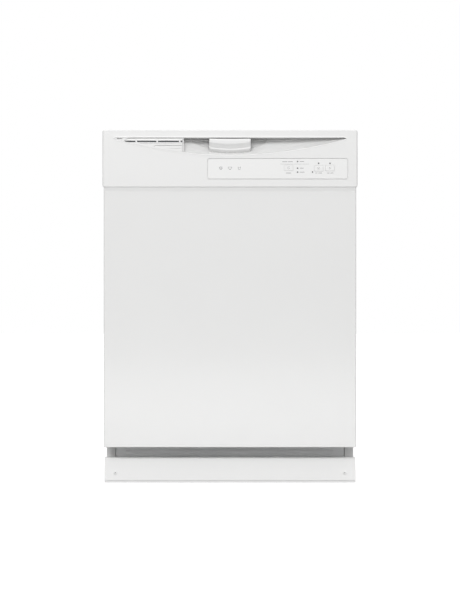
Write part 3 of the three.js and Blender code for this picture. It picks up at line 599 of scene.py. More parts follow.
def print_marks():
    """Generic pictograms and short rules where such a panel carries its printing."""
    skin = Skin()
    front = CON_FRONT + INSET_BEHIND
    proud = 0.05

    def rule(x0, x1, z, tall):
        strip_box(skin, x0, x1, front - proud, front + 0.05, z - tall / 2, z + tall / 2)

    def ring_mark(x, z, radius, width=0.55):
        outer, inner = radius + width / 2, radius - width / 2
        loops = [skin.ring(disc(x, z, r, y, 28)) for r, y in
                 ((outer, front + 0.05), (outer, front - proud), (inner, front - proud),
                  (inner, front + 0.05))]
        skin.chain([*loops, loops[0]])

    # A plate, a bowl on its foot and a tumbler stand in the middle of the left half.
    middle_z = 756.4
    plate_x = -22.0
    ring_mark(plate_x, middle_z, 3.6)
    ring_mark(plate_x, middle_z, 2.1)
    arc(skin, 0.0, middle_z + 2.2, 4.6, 180, 180, 9, 0.6, front, proud)
    rule(-5.0, 5.0, middle_z + 2.4, 0.6)
    rule(-2.2, 2.2, middle_z - 3.3, 0.7)
    for x0, x1 in ((19.2, 20.2), (25.2, 24.2)):
        bar(skin, x0, middle_z + 3.6, x1, middle_z - 3.4, 0.6, front, proud)
    rule(20.2, 24.2, middle_z - 3.4, 0.6)
    rule(19.6, 24.8, middle_z + 1.2, 0.4)
    # Dashes in place of headings and captions.
    rule(120, 189, 766.0, 0.35)
    for x0, x1, z in ((125, 137, 771.6), (139, 150, 771.6), (167, 177, 772.0), (167, 176, 756.2),
                      (167, 178, 746.6), (204, 209, 744.6), (211, 220, 744.6), (232, 238, 744.6),
                      (240, 247, 744.6), (134, 146, 744.6)):
        rule(x0, x1, z, 1.0)
    skin.make("panel_print", INK, "door", sharp=30)


def key_marks():
    """One pictogram on each key, which moves with it: a round arrow, three wavy lines, a triangle."""
    front = CON_FRONT
    proud = 0.12
    for node in KEY_NODES:
        x, z = centre_of(node, "x", "z")
        skin = Skin()
        if node == "key_cycle":
            arc(skin, x, z, 2.4, 60, 300, 14, 0.5, front, proud)
            bar(skin, x + 1.2, z + 2.1, x + 2.9, z + 2.9, 0.5, front, proud)
        elif node == "key_heated_dry":
            for offset in (-2.2, 0.0, 2.2):
                for i in range(8):
                    t0, t1 = i / 8, (i + 1) / 8
                    bar(skin, x + offset + 0.6 * math.sin(6.28 * t0), z - 2.6 + 5.2 * t0,
                        x + offset + 0.6 * math.sin(6.28 * t1), z - 2.6 + 5.2 * t1, 0.45, front, proud)
        else:
            corners = [(x - 1.6, z - 2.3), (x - 1.6, z + 2.3), (x + 2.2, z)]
            for (x0, z0), (x1, z1) in zip(corners, corners[1:] + corners[:1]):
                bar(skin, x0, z0, x1, z1, 0.5, front, proud)
        skin.make(node + "_mark", INK, node, sharp=30)


print_marks()
key_marks()


# ------------------------------------------------------------------ door panel and toe panel
def door_panel():
    """One folded steel sheet: rolled front edges, returns at the sides, hems top and bottom."""
    low, high = box_mm("door_outer_panel")
    half, front, back = high.x, low.y, high.y
    bottom, top = low.z, CON_LOW.z
    sheet = 1.4
    roll = 3.2
    lower_roll, upper_roll = 1.6, 0.2
    skin = Skin()

    def plan(inset):
        """Plan of one face of the sheet, as (x, y) from the left return's end to the right one's."""
        points = [(-half + inset, back)]
        for corner_x, start in ((-half + inset + roll, 180), (half - inset - roll, 270)):
            for i in range(7):
                a = math.radians(start + 90 * i / 6)
                points.append((corner_x + roll * math.cos(a), front + inset + roll + roll * math.sin(a)))
        return points + [(half - inset, back)]

    loop = plan(0) + list(reversed(plan(sheet)))
    # Just under the console the sheet swells forward to meet it.
    swell, swell_tall = 3.4, 13.0
    rows = []
    for z in (bottom + lower_roll, top - swell_tall, top - 10.5, top - 8.0, top - 5.5, top - 3.0,
              top - upper_roll):
        out = swell * smoothstep(top - swell_tall, top + 2.0, z)
        rows.append([(x, y - out * (back - y) / (back - front), z) for x, y in loop])
    made = skin.chain([skin.ring(row) for row in rows])
    # Rolled bottom and top edges that turn back into a short return.
    bottom_end = (bottom, -1, back - 2, lower_roll, made[0], rows[0], 0.0)
    top_end = (top, 1, front + 26, upper_roll, made[-1], rows[-1], swell)
    for level, sign, reach, edge, ring, shape, out in (bottom_end, top_end):
        start = level - sign * edge
        for i in range(1, 5):
            a = math.pi / 2 * i / 4
            pull = edge * (1 - math.cos(a))
            z = start + sign * edge * math.sin(a)
            new = skin.ring([(max(-half + pull, min(half - pull, x)), max(front - out + pull, y), z)
                             for x, y, _ in shape])
            skin.bridge(ring, new)
            ring = new
        skin.fill(ring)
        z0, z1 = (level, level + sheet) if sign < 0 else (level - sheet, level)
        limit = 272.0 if sign < 0 else half - 3
        strip_box(skin, -limit, limit, front + 2.6, reach, z0, z1)
    skin.make("door_skin", ENAMEL, "door", ["door_outer_panel"], sharp=45)


def toe_panel():
    """Kick panel: flat face, rounded top lip and a set-back foot along the floor."""
    low, high = box_mm("toe_panel")
    half, front, back, top = high.x, low.y, high.y, high.z
    foot = 5.4
    sheet = 2.2
    lip = 4.5
    skin = Skin()
    profile = [(front + 5.0, 0.2), (front + 2.4, 0.2), (front + 2.2, foot), (front + 0.6, foot),
               (front + 0.15, foot + 0.4), (front, foot + 1.2), (front, top - 7.0)]
    for i in range(1, 8):
        a = math.pi / 2 * i / 7
        profile.append((front + lip * (1 - math.cos(a)), top - lip + lip * math.sin(a)))
    profile += [(back, top), (back, top - sheet), (front + 5.2, top - sheet), (front + 5.0, top - 6)]
    ends = [(0.0, 1.6), (0.5, 0.7), (1.6, 0.0)]
    skin.loft([[(x, min(y + shrink, back), min(z, top - shrink * 0.6)) for y, z in profile]
               for x, shrink in [(-half + along, shrink) for along, shrink in ends]
               + [(half - along, shrink) for along, shrink in reversed(ends)]])
    for side in (-1, 1):
        x0, x1 = sorted((side * half, side * (half - sheet)))
        strip_box(skin, x0, x1, front + 3.5, back, 6, top - 2)
    # Painted in the brightened enamel: painted light against the shade under the door's overhang.
    skin.make("kick_panel", TOE_ENAMEL_PAINTED_LIGHT, "cabinet", ["toe_panel"], sharp=40)


def toe_screw(node):
    """Pan head with its shank and a cross recess, and a dark insert in the recess as painted shade."""
    x, z = centre_of(node, "x", "z")
    low, high = box_mm(node)
    front = low.y
    seat = box_mm("toe_panel")[0].y - 0.1
    shank, head = 2.2, 4.4
    arms = {0: 1.9, 2: 0.75}  # reach of the cross by the point's number modulo four; 1.0 elsewhere
    cross = [(arms.get(i % 4, 1.0) * math.cos(2 * math.pi * i / 16),
              arms.get(i % 4, 1.0) * math.sin(2 * math.pi * i / 16)) for i in range(16)]

    def cross_at(size, y):
        return [(x + a * size, y, z + b * size) for a, b in cross]

    skin = Skin()
    skin.loft([disc(x, z, radius, y, 16) for radius, y in
               ((shank, high.y), (shank, seat + 0.3), (head, seat), (head, front + 1.0),
                (3.9, front + 0.35), (2.9, front + 0.05))] + [cross_at(1.0, front),
                                                              cross_at(0.7, front + 1.5)])
    skin.make(node + "_head", TOE_ENAMEL_PAINTED_LIGHT, "cabinet", [node], sharp=35)
    # A dark insert in the cross recess: painted shade, where the recess holds only shade.
    shade_insert = Skin()
    shade_insert.loft([cross_at(0.98, front + 0.25), cross_at(0.72, front + 1.2)])
    shade_insert.make(node + "_recess_painted_shade", DARK_MOULDED, "cabinet", sharp=35)


def toe_baffle():
    """The folded sheet behind the toe space, with returned sides and two pressed ribs."""
    low, high = box_mm("access_panel")
    half, sheet = 277.0, 1.6
    skin = Skin()
    rows = []
    for x, back in ((-half, 20.0), (-half, 3.0), (-half + 0.8, 0.8), (-half + 3.0, 0.0),
                    (half - 3.0, 0.0), (half - 0.8, 0.8), (half, 3.0), (half, 20.0)):
        inner = max(-half + sheet, min(half - sheet, x))
        front = low.y + back
        rows.append([(x, front, low.z), (x, front, high.z),
                     (inner, front + sheet, high.z), (inner, front + sheet, low.z)])
    skin.loft(rows)
    for z in (low.z + 22.0, low.z + 60.0):
        rib = rounded_outline(-half + 24, half - 24, z - 5, z + 5, 4.8, 6)
        skin.loft([facing_front(rib, low.y + 0.5), facing_front(grown(rib, -0.8), low.y - 0.6),
                   facing_front(grown(rib, -1.8), low.y - 1.1)])
    skin.make("toe_baffle", BAFFLE, "cabinet", ["access_panel"], sharp=35)


door_panel()
toe_panel()
toe_baffle()
toe_screw("toe_screw_left")
toe_screw("toe_screw_right")

# ------------------------------------------------------------------ shapes used by the working parts
def on_axis(axis, centre, radius, angle, along):
    """A point at a distance along an axis, and at a radius and angle round it."""
    a, b = centre[0] + radius * math.cos(angle), centre[1] + radius * math.sin(angle)
    return {"x": (along, a, b), "y": (a, along, b), "z": (a, b, along)}[axis]


def turned(skin, axis, centre, profile, sides=40, closed=False):
    """A solid of revolution from (radius, along) pairs; a closed profile makes a ring."""
    rings = skin.chain([skin.ring([on_axis(axis, centre, radius, 2 * math.pi * i / sides, along)
                                   for i in range(sides)]) for radius, along in profile])
    if closed:
        skin.bridge(rings[-1], rings[0])
    else:
        skin.fill(rings[0])
        skin.fill(rings[-1])


def fillet(points, radius, steps=4, closed=False):
    """Rounds the corners of a path."""
    path = []
    count = len(points)
    for i, point in enumerate(points):
        point = Vector(point)
        if not closed and i in (0, count - 1):
            path.append(point)
            continue
        before, after = Vector(points[i - 1]), Vector(points[(i + 1) % count])
        reach = min(radius, (before - point).length * 0.45, (after - point).length * 0.45)
        a = point + (before - point).normalized() * reach
        b = point + (after - point).normalized() * reach
        for j in range(steps + 1):
            t = j / steps
            path.append(a * (1 - t) ** 2 + point * 2 * t * (1 - t) + b * t ** 2)
    return path


def tube(skin, points, radius, sides=8, closed=False):
    """A round wire along a path, with its ends slightly domed."""
    points = [Vector(p) for p in points]
    count = len(points)
    tangents = []
    for i in range(count):
        before = points[i - 1] if i or closed else points[0]
        after = points[(i + 1) % count] if i < count - 1 or closed else points[-1]
        tangents.append((after - before).normalized())
    side = tangents[0].orthogonal().normalized()
    rings = []
    for i, (point, tangent) in enumerate(zip(points, tangents)):
        side = (side - tangent * side.dot(tangent)).normalized()
        other = tangent.cross(side)
        circle = [side * math.cos(2 * math.pi * j / sides) + other * math.sin(2 * math.pi * j / sides)
                  for j in range(sides)]
        dome = tangent * radius * 0.45
        if not closed and i == 0:
            rings.append(skin.ring([point - dome + c * radius * 0.55 for c in circle]))
        rings.append(skin.ring([point + c * radius for c in circle]))
        if not closed and i == count - 1:
            rings.append(skin.ring([point + dome + c * radius * 0.55 for c in circle]))
    skin.chain(rings)
    if closed:
        # The last ring is turned to meet the first one.
        first, last = rings[0], rings[-1]
        start = skin.points[first[0]]
        shift = min(range(sides), key=lambda k: (skin.points[last[k]] - start).length)
        skin.bridge(last[shift:] + last[:shift], first)
    else:
        skin.fill(rings[0])
        skin.fill(rings[-1])


def slab(skin, outline, z0, z1, edge):
    """A flat plate of an (x, y) outline with rounded edges."""
    small = 0.3 * edge
    skin.loft([[(x, y, z) for x, y in grown(outline, -inset)] for z, inset in
               ((z0, edge), (z0 + small, small), (z0 + edge, 0.0), (z1 - edge, 0.0), (z1 - small, small),
                (z1, edge))])


def spoke(centre, angle, inner, outer, half):
    """Plan of a thin radial rib: its four corners as vectors."""
    out = Vector((math.cos(angle), math.sin(angle)))
    side = Vector((-out.y, out.x)) * half
    a, b = Vector(centre) + out * inner, Vector(centre) + out * outer
    return [a - side, b - side, b + side, a + side]


# ------------------------------------------------------------------ legs and springs
def levelling_leg(corner):
    """A ribbed foot pad and its threaded shank."""
    node = "leg_" + corner
    top = box_mm(node)[1].z
    centre = centre_of(node, "x", "y")
    pad = Skin()
    turned(pad, "z", centre, [(17.2, 0.0), (19.4, 0.5), (20.0, 2.0), (20.0, 6.2), (19.2, 7.4), (9.5, 9.0),
                              (8.6, 11.5), (5.4, 12.0)], 40)
    for i in range(12):
        corners = spoke(centre, 2 * math.pi * i / 12, 9, 18.6, 0.9)
        pad.loft([[(p.x, p.y, 6.8) for p in corners],
                  [(p.x, p.y, 9.6 if k in (0, 3) else 7.8) for k, p in enumerate(corners)]])
    pad.make(node + "_pad", DARK_MOULDED, node, [node])
    thread = Skin()
    pitch, sides = 2.2, 14
    crest, depth = 5.15, 0.85
    start = 11.0
    rows = []
    steps = int((top - 12.5) / pitch * 5)
    for i in range(steps + 1):
        z = start + (top - 12.0) * i / steps
        row = []
        for j in range(sides):
            phase = (z / pitch - j / sides) % 1.0
            radius = crest - depth * min(1.0, abs(2 * phase - 1) * 1.25)
            radius = min(radius, 3.9 + (top - z) * 0.9)
            row.append(on_axis("z", centre, radius, 2 * math.pi * j / sides, z))
        rows.append(row)
    thread.loft(rows)
    thread.make(node + "_thread", ZINC, node)


def door_spring(side, name):
    """A close-wound extension spring with a hook at each end; it stays fixed in the cabinet."""
    node = "door_spring_" + name
    x = side * 293.0
    arm_stud, base_stud = Vector((x, -209.0, 118.0)), Vector((x, -60.0, 45.0))
    along = (arm_stud - base_stud).normalized()
    across = Vector((1, 0, 0))
    up = along.cross(across).normalized()
    length = (arm_stud - base_stud).length
    wire, coil, hook, pitch = 0.9, 4.1, 4.3, 2.1
    start, end = 14.0, length - 30.0
    turns, per_turn = int((end - start) / pitch), 10
    path = []
    for i in range(9):
        angle = math.radians(-30 + 240 * i / 8)
        path.append(base_stud - along * hook * math.sin(angle) + up * hook * math.cos(angle))
    for i in range(turns * per_turn + 1):
        angle = 2 * math.pi * i / per_turn
        reach = start + (end - start) * i / (turns * per_turn)
        path.append(base_stud + along * reach + (across * math.cos(angle) + up * math.sin(angle)) * coil)
    for reach in (end + 3, end + 8, end + 13, length - 12, length - 7):
        path.append(base_stud + along * reach + across * 0.5)
    for i in range(1, 9):
        angle = math.radians(150 - 240 * i / 8)
        path.append(arm_stud + along * hook * math.sin(angle) + up * hook * math.cos(angle))
    skin = Skin()
    tube(skin, path, wire, 6)
    piece = skin.make(node + "_coil", ZINC, None, [node], sharp=70)
    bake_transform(piece)


CORNERS = ("front_left", "front_right", "rear_left", "rear_right")
for corner in CORNERS:
    levelling_leg(corner)
door_spring(-1, "left")
door_spring(1, "right")


# ------------------------------------------------------------------ tub surroundings
def insulation_blanket():
    """A fibre blanket over the tub's sides and top, drawn in by rows of stitches."""
    low, high = box_mm("insulation_blanket")
    tub_high = box_mm("tub")[1]
    inner_half, inner_top = tub_high.x + 0.4, tub_high.z + 0.4
    radius = 13.0
    path = [((-inner_half, low.z), (-1.0, 0.0))]
    rises = [low.z + (inner_top - radius - low.z) * i / 56 for i in range(1, 57)]
    path += [((-inner_half, z), (-1.0, 0.0)) for z in rises]
    for i in range(1, 7):
        angle = math.radians(180 - 90 * i / 7)
        path.append(((-inner_half + 6 + 6 * math.cos(angle), inner_top - 6 + 6 * math.sin(angle)),
                     (math.cos(angle), math.sin(angle))))
    spans = [-inner_half + radius + (2 * inner_half - 2 * radius) * i / 48 for i in range(49)]
    path += [((x, inner_top), (0.0, 1.0)) for x in spans]
    mirrored = [((-x, z), (-nx, nz)) for (x, z), (nx, nz) in reversed(path[:57 + 6])]
    path += mirrored
    stations = [low.y + (high.y - low.y) * i / 52 for i in range(53)]
    ripple = random.Random(7)
    phases = [ripple.uniform(0, 6.28) for _ in range(6)]
    outer, inner = [], []
    travelled = 0.0
    for i, ((x, z), (nx, nz)) in enumerate(path):
        if i:
            travelled += math.dist((x, z), path[i - 1][0])
        row_out, row_in = [], []
        for y in stations:
            stitch = abs(math.sin(math.pi * (y - low.y) / 120.0)) ** 0.35
            cross = abs(math.sin(math.pi * travelled / 156.0)) ** 0.35
            lumps = (math.sin(travelled / 23 + phases[0] + y / 41)
                     + math.sin(y / 17 + phases[1] - travelled / 37)
                     + 0.6 * math.sin(travelled / 9 + phases[2]) * math.sin(y / 11 + phases[3]))
            edge = min(1.0, min(y - low.y, high.y - y) / 14.0)
            thick = 3.2 + 7.0 * min(stitch, cross) * (0.35 + 0.65 * edge) + 0.33 * lumps
            thick = max(2.0, min(11.2, thick))
            row_out.append((x + nx * thick, y, z + nz * thick))
            row_in.append((x, y, z))
        outer.append(row_out)
        inner.append(row_in)
    skin = Skin()
    out_rings = skin.chain([skin.ring(row) for row in outer], closed=False)
    in_rings = skin.chain([skin.ring(row) for row in inner], closed=False)
    skin.bridge(out_rings[0], in_rings[0], closed=False)
    skin.bridge(out_rings[-1], in_rings[-1], closed=False)
    skin.bridge([r[0] for r in out_rings], [r[0] for r in in_rings], closed=False)
    skin.bridge([r[-1] for r in out_rings], [r[-1] for r in in_rings], closed=False)
    skin.make("fibre_blanket", FIBRE, "cabinet", ["insulation_blanket"], sharp=75)


def tub_gasket():
    """A hollow-looking bulb seal with a lip, run up one side of the tub, over the top and down."""
    low, high = box_mm("tub_gasket")
    middle = (low.y + high.y) / 2
    half = (high.x - low.x) / 2 - 4.0
    top = high.z - 4.0
    path = fillet([(-half, 0, low.z + 1), (-half, 0, top), (half, 0, top), (half, 0, low.z + 1)], 16, 10)
    thick = (high.y - low.y) / 2
    section = []
    for i in range(18):
        angle = 2 * math.pi * i / 18
        across, out = 3.9 * math.cos(angle), thick * math.sin(angle)
        if out < 0:
            across *= 0.82 + 0.18 * abs(math.sin(2 * angle))
        section.append((across, out))
    rings = []
    for i, point in enumerate(path):
        before, after = path[max(0, i - 1)], path[min(len(path) - 1, i + 1)]
        along = (after - before).normalized()
        normal = Vector((-along.z, 0, along.x))
        rings.append([point + normal * a + Vector((0, middle + b, 0)) for a, b in section])
    skin = Skin()
    skin.loft(rings)
    skin.make("door_seal", RUBBER, "cabinet", ["tub_gasket"], sharp=60)


def tub_back_ribs():
    """The ribs that stiffen the tub's back wall: six running across and four upright."""
    high = box_mm("tub")[1]
    back = high.y
    skin = Skin()
    for z in (190, 300, 410, 520, 630, 740):
        section = [(-262, 0), (262, 0), (262, 1), (-262, 1)]
        skin.loft([[(x, back - 0.5, z - 4 + 8 * k) for x, k in section],
                   [(x * 0.997, back + 3.5, z - 2 + 4 * k) for x, k in section]])
    for x in (-220, -110, 110, 220):
        skin.loft([[(x - 4, back - 0.5, 150), (x + 4, back - 0.5, 150), (x + 4, back - 0.5, 810),
                    (x - 4, back - 0.5, 810)],
                   [(x - 2, back + 3.4, 152), (x + 2, back + 3.4, 152), (x + 2, back + 3.4, 808),
                    (x - 2, back + 3.4, 808)]])
    skin.make("tub_back_ribs", TUB_GREY, "cabinet", sharp=35)


insulation_blanket()
tub_gasket()
tub_back_ribs()


# ------------------------------------------------------------------ water system
def heating_element():
    """The heater's ring and its two legs."""
    low, high = box_mm("heating_element")
    radius, tube_radius, z = 175.0, 4.0, high.z - 4.0
    centre_y = 20.0
    end_x = 25.0
    opening = math.asin(end_x / radius)
    end_y = centre_y + radius * math.cos(opening)
    path = [(end_x, end_y, low.z), (end_x, end_y, z - 7), (end_x + 1, end_y - 0.3, z - 3),
            (end_x + 5, end_y - 1, z)]
    for i in range(3, 88):
        angle = math.pi / 2 - opening - (2 * math.pi - 2 * opening) * i / 90
        path.append((radius * math.cos(angle), centre_y + radius * math.sin(angle), z))
    path += [(-x, y, pz) for x, y, pz in reversed(path[:4])]
    skin = Skin()
    tube(skin, path, tube_radius, 12)
    skin.make("heater_loop", HEATER_STEEL, "cabinet", ["heating_element"], sharp=70)


def filter_plate():
    """A perforated plate between solid rims."""
    low, high = box_mm("filter_plate")
    cx, cy = (low.x + high.x) / 2, (low.y + high.y) / 2
    z0, z1 = low.z + 0.8, high.z - 0.5
    radius = (high.x - low.x) / 2
    cup = (cx, cy + 56.0)
    skin = Skin()
    pitch, hole = 5.0, 2.9
    reach = int(radius / pitch) + 1
    for i in range(-reach, reach):
        for j in range(-reach, reach):
            x, y = cx + (i + 0.5) * pitch, cy + (j + 0.5) * pitch
            if math.dist((x, y), (cx, cy)) > radius - 4 or math.dist((x, y), (cx, cy)) < 17:
                continue
            if math.dist((x, y), cup) < 30:
                continue
            outer = [(x + a * pitch / 2, y + b * pitch / 2) for a, b in ((-1, -1), (1, -1), (1, 1), (-1, 1))]
            inner = [(x + a * hole / 2, y + b * hole / 2) for a, b in ((-1, -1), (1, -1), (1, 1), (-1, 1))]
            top = [skin.ring([(p, q, z1) for p, q in shape]) for shape in (outer, inner)]
            bottom = [skin.ring([(p, q, z0) for p, q in shape]) for shape in (outer, inner)]
            skin.bridge(top[0], top[1])
            skin.bridge(bottom[0], bottom[1])
            skin.bridge(top[1], bottom[1])
    for centre, inner, outer in (((cx, cy), radius - 6, radius), ((cx, cy), 13.6, 19), (cup, 27.6, 32)):
        turned(skin, "z", centre,
               [(inner, low.z), (outer - 0.5, low.z), (outer, low.z + 0.6), (outer, high.z - 0.6),
                (outer - 0.6, high.z), (inner + 0.6, high.z), (inner, high.z - 0.6)], 56, closed=True)
    skin.make("filter_mesh", STAINLESS, "cabinet", ["filter_plate"], sharp=30, weld=0.0005)


def float_dome():
    """The float's domed cap with ribs round its edge."""
    low, high = box_mm("float")
    centre = centre_of("float", "x", "y")
    skin = Skin()
    profile = [(3.4, low.z), (3.5, 141.6), (20.8, 141.6), (22.0, 142.6), (22.0, 152.0)]
    profile += [(22.0 * math.cos(math.radians(a)), 152.0 + (high.z - 152.0) * math.sin(math.radians(a)))
                for a in (12, 25, 38, 52, 66, 80)]
    turned(skin, "z", centre, profile, 36)
    for i in range(8):
        corners = spoke(centre, 2 * math.pi * i / 8, 20, 22.6, 1.0)
        skin.loft([[(p.x, p.y, z) for p in corners] for z in (142.4, 150.5)])
    skin.make("float_cap", PALE_GREY, "float", ["float"])


def arm_outline(reach, centre):
    """Plan of a spray arm, anticlockwise: both blades taper and end in a half circle."""
    points = [(-reach + 14, -14), (-reach * 0.5, -20), (0, -24), (reach * 0.5, -19), (reach - 26, -14)]
    points += [(reach - 14 + 14 * math.cos(math.radians(a)), 14 * math.sin(math.radians(a)))
               for a in range(-84, 96, 12)]
    points += [(reach * 0.5, 20), (0, 24), (-reach * 0.5, 19), (-reach + 26, 14)]
    points += [(-reach + 14 + 14 * math.cos(math.radians(a)), 14 * math.sin(math.radians(a)))
               for a in range(96, 264, 12)]
    return [(x + centre[0], y + centre[1]) for x, y in points]


def spray_arm(node, hub):
    """A blade with its hub, raised jets and the welded seams."""
    low, high = box_mm(node)
    centre = ((low.x + high.x) / 2, 20.0)
    reach = (high.x - low.x) / 2
    z0, z1 = {"lower_spray_arm": (158.5, 166.0), "upper_spray_arm": (437.0, 444.0)}[node]
    skin = Skin()
    slab(skin, arm_outline(reach, centre), z0, z1, 2.2)
    turned(skin, "z", centre,
           [(hub - 2.5, low.z), (hub, low.z + 1.2), (hub, high.z - 1.6), (hub - 0.5, high.z - 0.5),
            (hub - 1.8, high.z), (hub - 7, high.z - 0.3), (hub - 8, high.z - 1.6)], 40)
    holes = [(0.24, 7), (0.38, -8), (0.52, 6), (0.66, -6), (0.8, 4), (0.92, 0)]
    for sign in (-1, 1):
        for share, offset in holes:
            x, y = centre[0] + sign * share * reach, centre[1] + sign * offset
            turned(skin, "z", (x, y),
                   [(4.2, z1 - 0.5), (4.2, z1 + 0.35), (3.7, z1 + 0.7), (2.0, z1 + 0.7),
                    (1.5, z1 + 0.3), (1.4, z1 - 1.2)], 16)
        # the seam where the arm's two halves are welded
        x0, x1 = sorted((centre[0] + sign * 32, centre[0] + sign * (reach - 22)))
        seam = ((x0, -0.6), (x1, -0.6), (x1, 0.6), (x0, 0.6))
        skin.loft([[(x, centre[1] + y, z) for x, y in seam] for z in (z1 - 0.4, z1 + 0.45)])
    skin.make(node + "_blade", ARM_GREY, node, [node], sharp=38)


def circulation_pump():
    """The wash motor and its pump housing."""
    low = box_mm("circulation_pump")[0]
    axis = (20.0, 95.0)
    skin = Skin()
    profile = [(20, -235), (25, -234.6), (27, -233), (28, -231)]
    x = -230.0
    while x < -156.0:
        profile += [(28, x), (28, x + 3.0), (25.6, x + 3.3), (25.6, x + 5.7)]
        x += 6.0
    profile += [(28, x + 0.2), (28, -151), (33, -149.6), (36, -147), (37, -143), (37, -132), (35.4, -131.4),
                (35.4, -129), (37, -128.4), (37, -99), (36, -95), (32, -92), (24, -91)]
    turned(skin, "x", axis, profile, 44)
    strip_box(skin, -142, -98, 0, 40, low.z, 70)
    for i in range(8):
        angle = 2 * math.pi * (i + 0.5) / 8
        y, z = axis[0] + 33 * math.cos(angle), axis[1] + 33 * math.sin(angle)
        turned(skin, "x", (y, z), [(2.4, -148.6), (2.8, -148.2), (2.8, -133)], 10)
    strip_box(skin, -228, -206, 8, 32, 120, 127.5)
    skin.make("pump_motor", DARK_MOULDED, "cabinet", ["circulation_pump"], sharp=35)


def drain_pump():
    """The small drain motor, its housing and its barbed outlet."""
    axis = (20.0, 86.0)
    skin = Skin()
    profile = [(18, 91), (22.5, 91.8), (24, 94), (24, 118), (22.8, 118.5), (22.8, 121), (24, 121.5),
               (24, 147), (22, 149.6), (17, 150)]
    x = 152.0
    while x < 172.0:
        profile += [(17, x), (17, x + 2.4), (15.4, x + 2.6), (15.4, x + 4.2)]
        x += 4.4
    profile += [(17, 175), (15.5, 177.5), (9, 178)]
    turned(skin, "x", axis, profile, 36)
    spigot = [(9, 21), (9, 66)]
    for y in (68, 74, 80):
        spigot += [(9, y), (7.9, y + 0.3), (8.9, y + 5.0)]
    spigot += [(7.6, 89.2), (6.4, 90), (6.2, 62)]
    turned(skin, "y", (118, 96), spigot, 26)
    skin.make("drain_motor", DARK_MOULDED, "cabinet", ["drain_pump"], sharp=35)


heating_element()
filter_plate()
float_dome()
spray_arm("lower_spray_arm", 20.0)
spray_arm("upper_spray_arm", 15.0)
circulation_pump()
drain_pump()


# ------------------------------------------------------------------ racks
def rack_box(node):
    """Outer limits of the wire basket, leaving out wheel axles and runners."""
    low, high = box_mm(node)
    half = 249.0
    return -half, half, low.y, high.y


def rack_frame(skin, limits, floor, rim, across, along, rails):
    """Bent wires in both directions under closed rims; (x, y) limits are the wires' outer faces."""
    x0, x1, y0, y1 = limits
    thin, thick = 1.5, 2.4
    for z in rails:
        loop = fillet([(x0 + thick, y0 + thick, z), (x1 - thick, y0 + thick, z), (x1 - thick, y1 - thick, z),
                       (x0 + thick, y1 - thick, z)], 22, 5, closed=True)
        tube(skin, loop, thick, 8, closed=True)
    for i in range(along):
        x = x0 + 26 + (x1 - x0 - 52) * i / (along - 1)
        path = fillet([(x, y0 + 6, rim), (x, y0 + 6, floor + thin), (x, y1 - 6, floor + thin),
                       (x, y1 - 6, rim)], 16, 4)
        tube(skin, path, thin, 6)
    for i in range(across):
        y = y0 + 28 + (y1 - y0 - 56) * i / (across - 1)
        path = fillet([(x0 + 6, y, rim), (x0 + 6, y, floor + 3 * thin), (x1 - 6, y, floor + 3 * thin),
                       (x1 - 6, y, rim)],
                      16, 4)
        tube(skin, path, thin, 6)


def tines(skin, columns, rows, floor, tall, lean):
    """Rows of upright prongs with blunt tips, leaning a little to the back."""
    for y in rows:
        for x in columns:
            tube(skin,
                 [(x, y, floor + 1.5), (x, y + lean * 0.4, floor + tall * 0.5),
                  (x, y + lean, floor + tall)], 1.45, 6)


def spread(low, high, count):
    """Evenly spaced values from one limit to the other."""
    return [low + (high - low) * i / (count - 1) for i in range(count)]


def lower_rack():
    """The lower basket, its tines, grip and wheel carriers."""
    limits = rack_box("lower_rack")
    high = box_mm("lower_rack")[1]
    floor = 172.0
    rim = high.z - 2.4
    skin = Skin()
    rack_frame(skin, limits, floor, rim, 13, 15, (rim, 268.0))
    tines(skin, spread(-224, -30, 7), spread(-176, 230, 14), floor + 3, 74, 7)
    tines(skin, spread(30, 150, 4), spread(-176, 230, 10), floor + 3, 52, 5)
    for x in (-10.0, 166.0):
        path = fillet([(x, -180, floor + 2), (x, -180, floor + 46), (x, 232, floor + 46),
                       (x, 232, floor + 2)], 10, 4)
        tube(skin, path, 1.5, 6)
    # the pull handle's loop in the front wall
    grip = fillet([(-70, limits[2] + 3, rim - 2), (-62, limits[2] + 3, rim - 34),
                   (62, limits[2] + 3, rim - 34), (70, limits[2] + 3, rim - 2)], 12, 4)
    tube(skin, grip, 2.2, 8)
    skin.make("lower_rack_wires", NYLON, "lower_rack", ["lower_rack"], sharp=70)
    carriers = Skin()
    for side, y in ((-1, -155), (1, -155), (-1, 205), (1, 205)):
        outline = rounded_outline(y - 13, y + 13, 151, 204, 9)
        x0, x1 = sorted((side * 242.5, side * 250.5))
        carriers.loft([[(x, a, b) for a, b in grown(outline, grow)] for x, grow in
                       ((x0, -1.2), (x0 + 1.2, 0), (x1 - 1.2, 0), (x1, -1.2))])
        axle = [(3.6, side * 249), (3.6, side * 260.6), (5.4, side * 260.8), (5.4, side * 261.6),
                (4.2, side * 262.4)]
        turned(carriers, "x", (y, 160.0), axle, 20)
        bracket = rounded_outline(y - 46, y + 46, 172, 181, 4)
        carriers.loft([[(x, a, b) for a, b in bracket] for x in (x0 + 1.5, x1 - 1.5)])
    carriers.make("wheel_carriers", PALE_GREY, "lower_rack", sharp=35)


